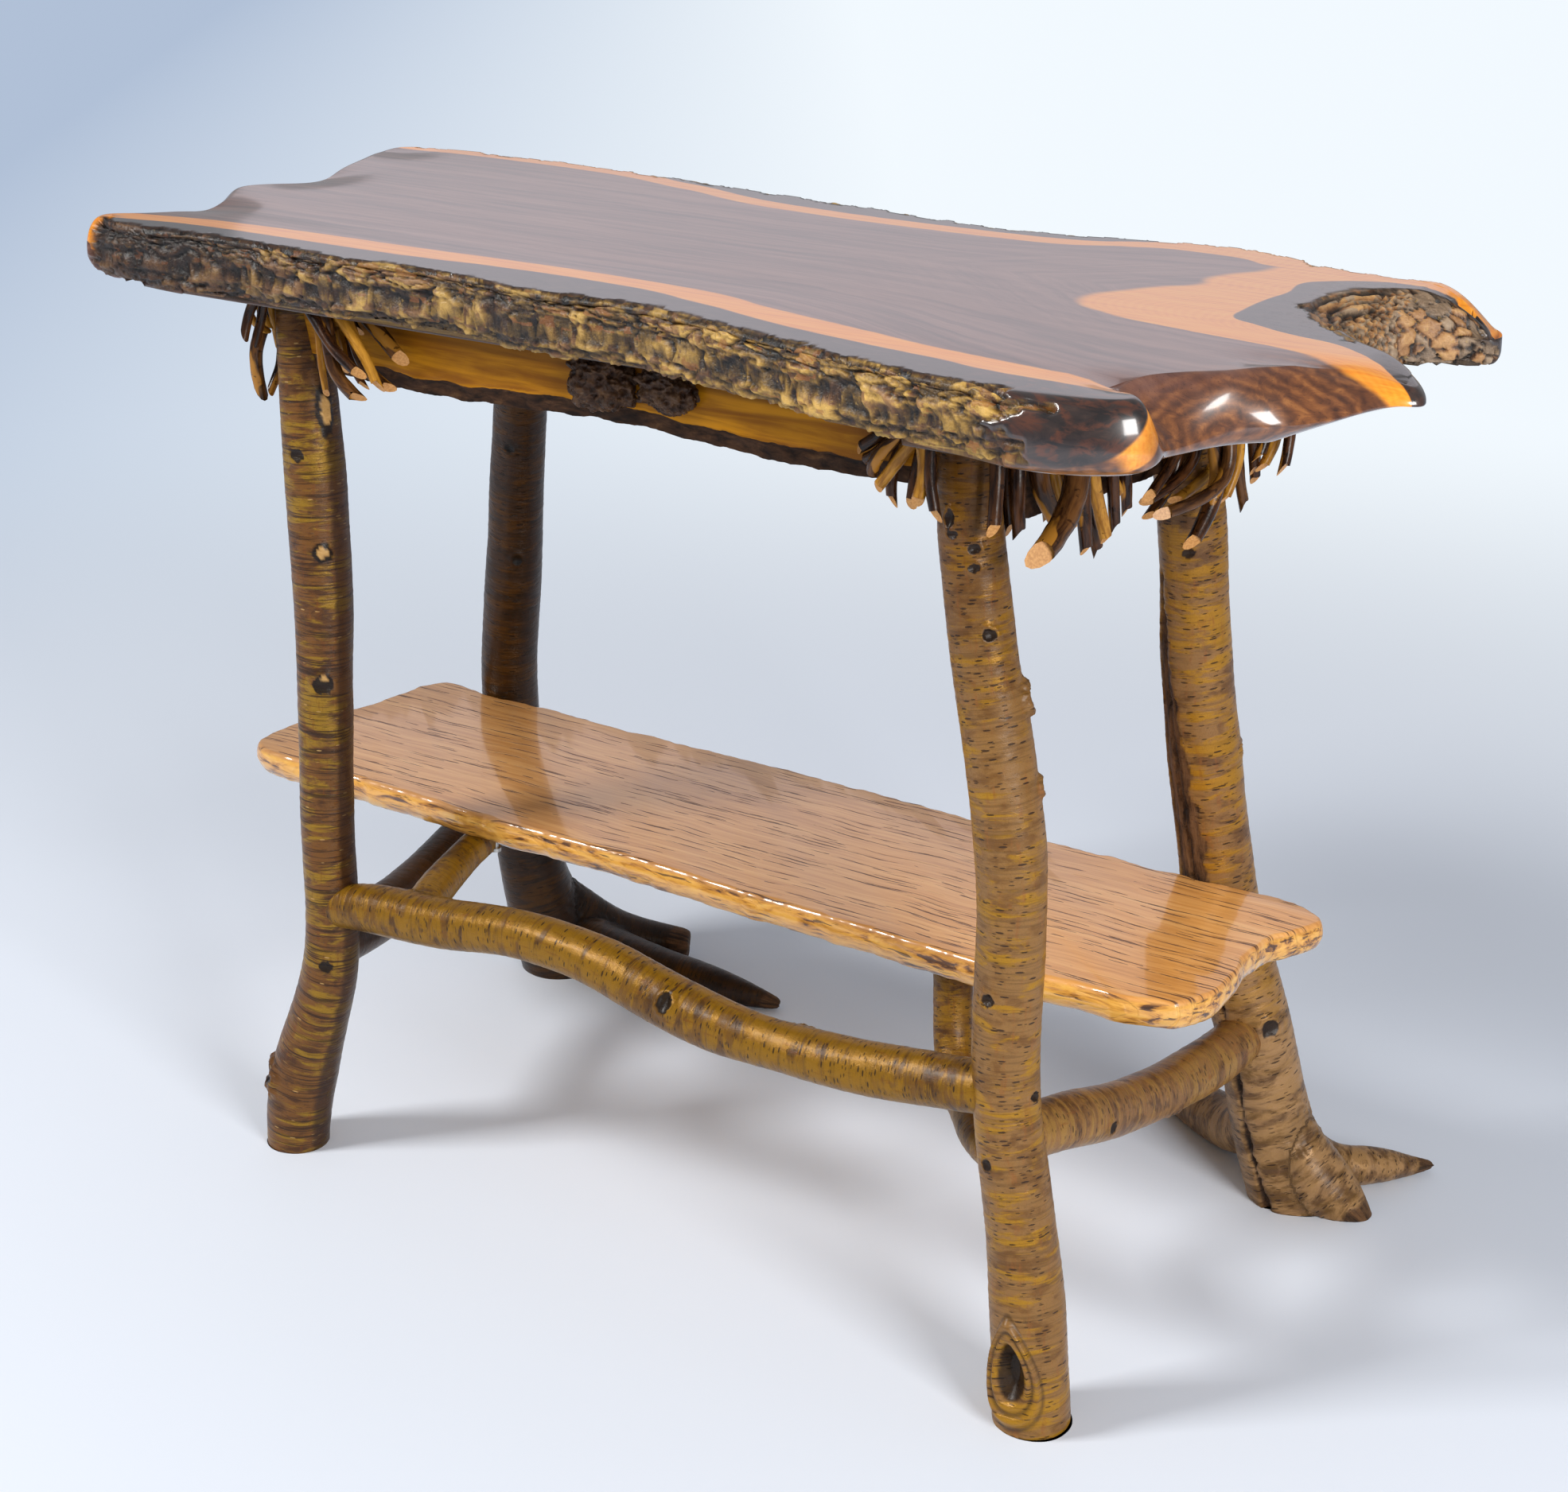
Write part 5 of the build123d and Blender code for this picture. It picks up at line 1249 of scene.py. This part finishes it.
for apron_name, (_, _, tall, wave, strip_depth, face, vein) in APRONS.items():
    start, run, inward, length = apron_frame(apron_name)
    bpy.ops.object.select_all(action="DESELECT")
    bpy.ops.mesh.primitive_grid_add(size=1, x_subdivisions=int(length / GRID_LENGTH),
                                    y_subdivisions=int(tall / GRID_HEIGHT))
    apron = bpy.context.object
    apron.name = f"{apron_name}_board"
    apply_modifier(apron, "SOLIDIFY", thickness=1.0, offset=0.0)
    spots = corners(apron)
    share, up, side = spots[:, 0] + 0.5, spots[:, 1] + 0.5, spots[:, 2]
    along = APRON_GAP + share * (length - 2 * APRON_GAP)
    drawn = np.array([(place * length, rise) for place, rise in wave], float)
    low_edge = spline_through(drawn[:, 1:], drawn[:, 0], along)[:, 0] - tall
    low_edge += 1.6 * noisy(rows_of(along), (0.05, 1, 1), tall, 3)
    z = low_edge * (1 - up)
    strip_top = low_edge + strip_depth + 3.0 * noisy(rows_of(along), (0.018, 1, 1), 3.0 + tall, 2)
    strip = np.clip((strip_top - z) / 3.0, 0, 1)
    lump = noisy(rows_of(along, z, side * 40), (0.06, 0.12, 1), tall, 3)
    thick = APRON_THICKNESS / 2 - 0.25 + strip * (lump * 1.1 - 0.6)
    spots = start + run * along[:, None] + inward * (np.sign(side) * thick)[:, None]
    set_corners(apron, placed(spots + rows_of(0.0, 0.0, z)))
    face_outwards(apron)
    store(apron, "board", rows_of(along * MM, z * MM + side * 0.01, strip))
    bpy.ops.object.shade_smooth_by_angle(angle=math.radians(50))
    apron.data.materials.append(apron_finish(f"{apron_name}_wood", face, vein))
    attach(apron, "root")
    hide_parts(apron_name)


# ---- Burls ---------------------------------------------------------------------------
# Two dark lumpy burls side by side, cut flat at the back and glued to the front apron just
# under the slab. Each is a ball of a few swells and pits, squared off a little.

CLEAR_OF_SLAB = 0.3          # what is fixed below the slab stays this far from it

burl_bark = Finish("burl_bark", roughness=0.32, gloss=0.22)
folds = burl_bark.cloud(burl_bark.place(), 120, 5, 0.65, 0.8)
pits = burl_bark.cells(burl_bark.place(), 160)
burl_colour = burl_bark.tones(folds * 0.7 + pits * 0.4, (0.30, (0.010, 0.005, 0.003)),
                              (0.52, (0.045, 0.020, 0.010)), (0.75, (0.115, 0.058, 0.026)))
burl_bark.wear(Base_Color=burl_colour, Normal=burl_bark.bumps(folds + pits * 0.5, 0.003, 0.8))
for burl_name, share, wide, tall, bulge, seed in (("burl_left", 0.511, 64, 46, 22, 1.0),
                                                  ("burl_right", 0.604, 56, 40, 18, 6.0)):
    start, run, inward, length = apron_frame("front_apron")
    bpy.ops.object.select_all(action="DESELECT")
    bpy.ops.mesh.primitive_ico_sphere_add(subdivisions=6, radius=1)
    burl = bpy.context.object
    burl.name = f"{burl_name}_lump"
    ball = corners(burl)
    swell = 0.86 + 0.20 * noisy(ball, (1.7, 1.7, 1.7), seed, 3) + 0.09 * noisy(ball, (6, 6, 6), seed, 3)
    pit = np.array([noise.voronoi(Vector(spot * 3.1 + seed))[0][0] for spot in ball])
    swell -= 0.16 * np.clip(0.32 - pit, 0, 1) / 0.32
    form = np.sign(ball) * np.abs(ball) ** 0.86 * np.minimum(swell, 1.04)[:, None]
    outward = np.maximum(form[:, 1], -0.02) * bulge
    back = start + run * share * length - inward * APRON_THICKNESS / 2 - np.array([0, 0, tall / 2 + 1])
    spots = back + run * (form[:, 0] * wide / 2)[:, None] - inward * outward[:, None]
    spots += rows_of(0.0, 0.0, form[:, 2] * tall / 2)
    spots[:, 2] = np.minimum(spots[:, 2], SLAB_UNDERSIDE - CLEAR_OF_SLAB)
    set_corners(burl, placed(spots))
    face_outwards(burl)
    bpy.ops.object.shade_smooth()
    burl.data.materials.append(burl_bark.material)
    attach(burl, "root")
    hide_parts(burl_name)


# ---- Twigs ---------------------------------------------------------------------------
# Fans of short cut twigs that hang under the slab beside every leg. Most keep their dark bark,
# some are peeled to yellow wood, and all show a pale slanted cut.

TWIG_SPACING = 0.0022
# (kind, step along the apron, out from it, diameter, bend, tip); the bend and the tip are
# (lean along the apron, kick outward, drop) from the twig's top
TWIGS = {
    "twigs_front_left": ("front_apron", False, [
        ("dark", 56, 0, 8, (10, 3, 9), (18, 3, 18)), ("dark", 45, 0, 6.9, (24, 5, 48), (33, 5, 58)),
        ("brown", 73, 0, 12, (23, 4, 13), (46, 6, 31)), ("peeled", 62, 14.5, 8.5, (7, 2, 20), (13, 4, 42)),
        ("peeled", 75, 24.5, 8.5, (24, 3, 20), (41, 5, 47)),
        ("brown", 73, 13.1, 10, (16, 6, 38), (44, 6, 51)), ("peeled", 43, 13.6, 5.8, (5, 4, 38), (10, 5, 65)),
        ("dark", 55, 30.7, 9, (20, 6, 20), (49, 6, 38)),
        ("brown", 63, 23.9, 11, (13, 10, 44), (35, 8, 58))]),
    "twigs_left_front": ("left_apron", True, [
        ("dark", -29, 1.7, 8, (-1, 8, 15), (-6, 9, 31)), ("dark", -20, 0.6, 8, (0, 5, 19), (-5, 8, 36)),
        ("peeled", -14, 13.5, 6.9, (-9, 9, 15), (11, 6, 35)),
        ("peeled", -6, 9.2, 8, (-9, 4, 12), (-9, -3, 27)),
        ("brown", 17, 16.6, 11, (-26, 12, 50), (-20, 10, 82)), ("dark", 8, 13.1, 8, (7, 4, 64), (-9, 6, 82)),
        ("peeled", -13, 5.8, 5.8, (8, 4, 24), (12, 3, 49))]),
    "twigs_front_right": ("front_apron", True, [
        ("dark", 32, 8.3, 9.1, (17, 0, 21), (36, 0, 33)), ("dark", 21, 3.6, 9.1, (35, 7, 39), (45, 1, 42)),
        ("brown", 18, 17.1, 9.1, (34, 9, 42), (33, 1, 46)),
        ("peeled", 6, 18.4, 9.1, (30, 1, 40), (40, 1, 53)),
        ("dark", 29, 0, 8.5, (20, 5, 52), (16, 5, 65)), ("dark", 13, 9.8, 9.1, (7, 7, 46), (7, 10, 59)),
        ("peeled", 11, 28, 9.7, (-9, 1, 27), (-4, 5, 52)),
        ("dark", 2, 27.2, 8.5, (-2, 5, 38), (-8, 6, 59))]),
    "twigs_right_front": ("right_apron", False, [
        ("dark", -11, 13.6, 10.3, (-10, 6, 37), (-17, 8, 68)), ("dark", 22, 0, 9.1, (-7, 6, 50), (-5, 9, 81)),
        ("dark", 15, 12.2, 10.3, (-10, 8, 66), (-8, 8, 80)),
        ("peeled", 31, 3.8, 9.1, (34, 6, 71), (44, 1, 90)),
        ("dark", 60, 1.1, 9.1, (1, 5, 58), (5, 4, 73)), ("brown", 28, 13.6, 13.7, (-6, 8, 53), (23, 12, 86)),
        ("peeled", 73, 0, 9.1, (5, 4, 63), (29, 5, 99)), ("peeled", 75, 13.6, 9.1, (-3, 5, 56), (13, 7, 93)),
        ("peeled", 95, 13.6, 10.3, (12, 6, 72), (31, 8, 115)),
        ("peeled", 139, 0, 9.1, (19, 5, 81), (38, 4, 99)),
        ("dark", 108, 0, 10.3, (13, 5, 81), (34, 7, 130)),
        ("brown", 66, 34.8, 18, (-41, 13, 66), (-89, 16, 80)),
        ("dark", 73, 26.9, 10.3, (-7, 8, 75), (-4, 10, 105)),
        ("dark", 141, 13.6, 9.1, (-3, 6, 90), (2, 6, 111)),
        ("dark", 189, 0, 9.1, (-2, 4, 104), (3, 3, 115))]),
    "twigs_right_back": ("right_apron", True, [
        ("dark", -1, 8.6, 9.1, (9, 17, 98), (73, 1, 112)), ("dark", 11, 14.1, 9.1, (26, 3, 87), (69, 1, 105)),
        ("dark", 17, 5.7, 9.1, (6, 5, 112), (45, 1, 126)),
        ("peeled", -24, 13.7, 9.1, (-1, 16, 101), (72, 6, 116)),
        ("brown", 20, 30, 10.3, (-14, 28, 101), (79, 6, 110)),
        ("dark", 30, 22.7, 12.5, (-14, 20, 114), (23, 13, 142)),
        ("dark", -34, 13.6, 9.1, (2, 4, 99), (-25, 6, 131)),
        ("peeled", -11, 26.3, 7.9, (-4, 17, 104), (12, 10, 124)),
        ("dark", -12, 32.9, 9.1, (-29, 6, 93), (-31, 5, 119)),
        ("dark", -30, 27.5, 9.1, (-5, 7, 58), (-3, 14, 109)),
        ("brown", -28, 23.8, 9.1, (4, 7, 111), (-5, 11, 136)),
        ("peeled", -30, 43.9, 9.1, (-18, 11, 98), (-4, 4, 106)),
        ("peeled", -30, 60.9, 7.9, (-14, 12, 72), (0, 5, 78)),
        ("dark", -30, 53, 9.1, (-14, 14, 88), (0, 13, 103)),
        ("dark", -30, 36, 9.1, (-15, 13, 90), (-1, 10, 98))]),
    "twigs_back_right": ("back_apron", False, [
        ("dark", 34, 0, 8, (2, 3, 34), (5, 6, 70)), ("peeled", 47, 0, 8, (8, 2, 30), (13, 6, 62)),
        ("dark", 60, 0, 8, (9, 3, 30), (22, 6, 54)), ("brown", 73, 0, 8, (16, 2, 22), (30, 5, 44)),
        ("peeled", 38, 13, 8, (3, 5, 30), (10, 12, 58)), ("dark", 51, 13, 8, (10, 4, 22), (23, 12, 50)),
        ("dark", 64, 13, 8, (14, 5, 20), (34, 12, 38))]),
    "twigs_back_left": ("back_apron", True, [
        ("dark", 33, 0, 8, (4, 2, 30), (3, 6, 66)), ("peeled", 46, 0, 8, (5, 3, 36), (14, 5, 64)),
        ("dark", 58, 0, 9, (12, 2, 28), (24, 6, 50)), ("dark", 72, 0, 8, (14, 3, 24), (30, 6, 40)),
        ("brown", 37, 13, 8, (2, 4, 32), (9, 13, 60)), ("peeled", 50, 13, 8, (9, 5, 26), (22, 11, 46)),
        ("dark", 63, 13, 8, (16, 4, 18), (33, 12, 34))]),
    "twigs_left_back": ("left_apron", False, [
        ("dark", 34, 0, 8, (3, 3, 30), (5, 6, 66)), ("dark", 47, 0, 8, (5, 2, 34), (14, 6, 60)),
        ("peeled", 60, 0, 8, (12, 3, 24), (23, 5, 48)), ("dark", 73, 0, 8, (15, 2, 20), (32, 6, 38)),
        ("peeled", 39, 13, 8, (4, 4, 28), (9, 12, 56)), ("dark", 52, 13, 8, (8, 5, 24), (21, 12, 48)),
        ("brown", 65, 13, 8, (15, 4, 20), (33, 11, 36))]),
}


def twig_finish(name, low, high, peeling=0.0):
    """Glossy twig skin with lengthwise streaks and small scars."""
    skin = Finish(name, roughness=0.27, gloss=0.28)
    lay = skin.kept("bark")
    streak = skin.grain(lay, (220, 220, 45), 3, 0.6, 0.4)
    scar = skin.grain(lay, (90, 90, 160), 2, 0.6)
    colour = skin.blend(streak.fade(0.36, 0.66), low, high)
    if peeling:
        rest = skin.grain(lay, (55, 55, 16), 2, 0.5, 0.2)
        colour = skin.blend(rest.fade(peeling, peeling + 0.03), colour, (0.36, 0.155, 0.020))
    colour = skin.blend(scar.fade(0.64, 0.70) * 0.7, colour, shaded(low, 0.35))
    return skin.wear(Base_Color=colour, Normal=skin.bumps(streak * 0.5 - scar * 0.5, 0.0007, 0.6))


twig_skins = {"dark": twig_finish("twig_dark", (0.012, 0.004, 0.002), (0.075, 0.026, 0.007), 0.60),
              "brown": twig_finish("twig_brown", (0.030, 0.011, 0.004), (0.125, 0.050, 0.013), 0.56),
              "peeled": twig_finish("twig_peeled", (0.24, 0.095, 0.008), (0.50, 0.235, 0.028))}
cut_wood = Finish("twig_cut_wood", roughness=0.4)
cut_grain = cut_wood.cloud(cut_wood.place(), 600, 3, 0.6)
cut_wood.wear(Base_Color=cut_wood.blend(cut_grain.fade(0.3, 0.7), (0.44, 0.18, 0.036), (0.62, 0.31, 0.085)))

for cluster_name, (apron_name, at_end, twigs) in TWIGS.items():
    start, run, inward, length = apron_frame(apron_name)
    way = -1 if at_end else 1
    made = []
    for number, (kind, step_along, out, thick, bend, tip) in enumerate(twigs):
        first = (length - step_along) if at_end else step_along
        out += APRON_THICKNESS / 2 + CLEAR_OF_SLAB + thick / 2

        def hung(lean, kick, drop):
            """A place from the twig's top."""
            return start + run * (first + way * lean) - inward * (out + kick) - np.array([0, 0, drop])

        top_place, tip_place = hung(0, 0, 0), hung(*tip)
        bend_place = hung(*bend) * 0.68 + (top_place * 0.42 + tip_place * 0.58) * 0.32
        rise = (top_place - bend_place) / np.linalg.norm(top_place - bend_place)
        middle = top_place * 0.45 + bend_place * 0.55
        stations = [(*(top_place + rise * thick), thick * 1.02), (*middle, thick * 0.98),
                    (*(bend_place * 0.94 + tip_place * 0.06), thick * 0.96), (*tip_place, thick * 0.86)]
        route = Route(stations, TWIG_SPACING, up=tuple(-inward))
        twig = bent_limb("twig", route, 12, TWIG_SPACING)
        spots = corners(twig)
        own = number * 1.7 + len(cluster_name)
        radius = thick * MM / 2
        _, along, turn, _ = nearest_on([route], spots)
        lay = rows_of(np.cos(turn) * radius, np.sin(turn) * radius, along + 0.31 * number)
        swell = noisy(lay, (60, 60, 55), own) * 0.10 + noisy(lay, (150, 150, 120), own) * 0.05
        centre = route.at(along)[0]
        spots = centre + (spots - centre) * (1 + swell)[:, None]
        # the saw cut slants, so that its face looks outward and down
        at_tip = along > route.length - 0.0001
        slant = (0.9 + abs(math.sin(own * 3.1))) * 0.86
        facing = math.atan2(-inward @ route.beside[-1], -inward @ route.across[-1]) + 0.5 * math.sin(own)
        spots[at_tip] -= route.ways[-1] * (np.cos(turn[at_tip] - facing) * slant * radius)[:, None]
        spots[:, 2] = np.minimum(spots[:, 2], (SLAB_UNDERSIDE - CLEAR_OF_SLAB) * MM)
        set_corners(twig, spots)
        store(twig, "bark", lay)
        twig.data.materials.append(twig_skins[kind])
        twig.data.materials.append(cut_wood.material)
        for face in twig.data.polygons:
            face.material_index = int(len(face.vertices) > 4)
        made.append(twig)
    cluster = joined(made, f"{cluster_name}_cut")
    bpy.ops.object.shade_smooth_by_angle(angle=math.radians(48))
    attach(cluster, "root")
    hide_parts(cluster_name)


# ---- Screws --------------------------------------------------------------------------
# Steel wood screws through the aprons into the slab, and through the branches into the shelf.
# They stay as the frame has them and only get their finish.

steel = Finish("screw_steel", roughness=0.35)
scratches = steel.cloud(steel.place(), 900, 3, 0.6)
steel.wear(Base_Color=steel.blend(scratches, (0.42, 0.41, 0.39), (0.62, 0.61, 0.58)),
           Roughness=0.28 + 0.2 * scratches, Metallic=1.0)
for screw_name in ("slab_screws", "shelf_screws"):
    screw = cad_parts[screw_name]
    screw.data.materials.clear()
    screw.data.materials.append(steel.material)
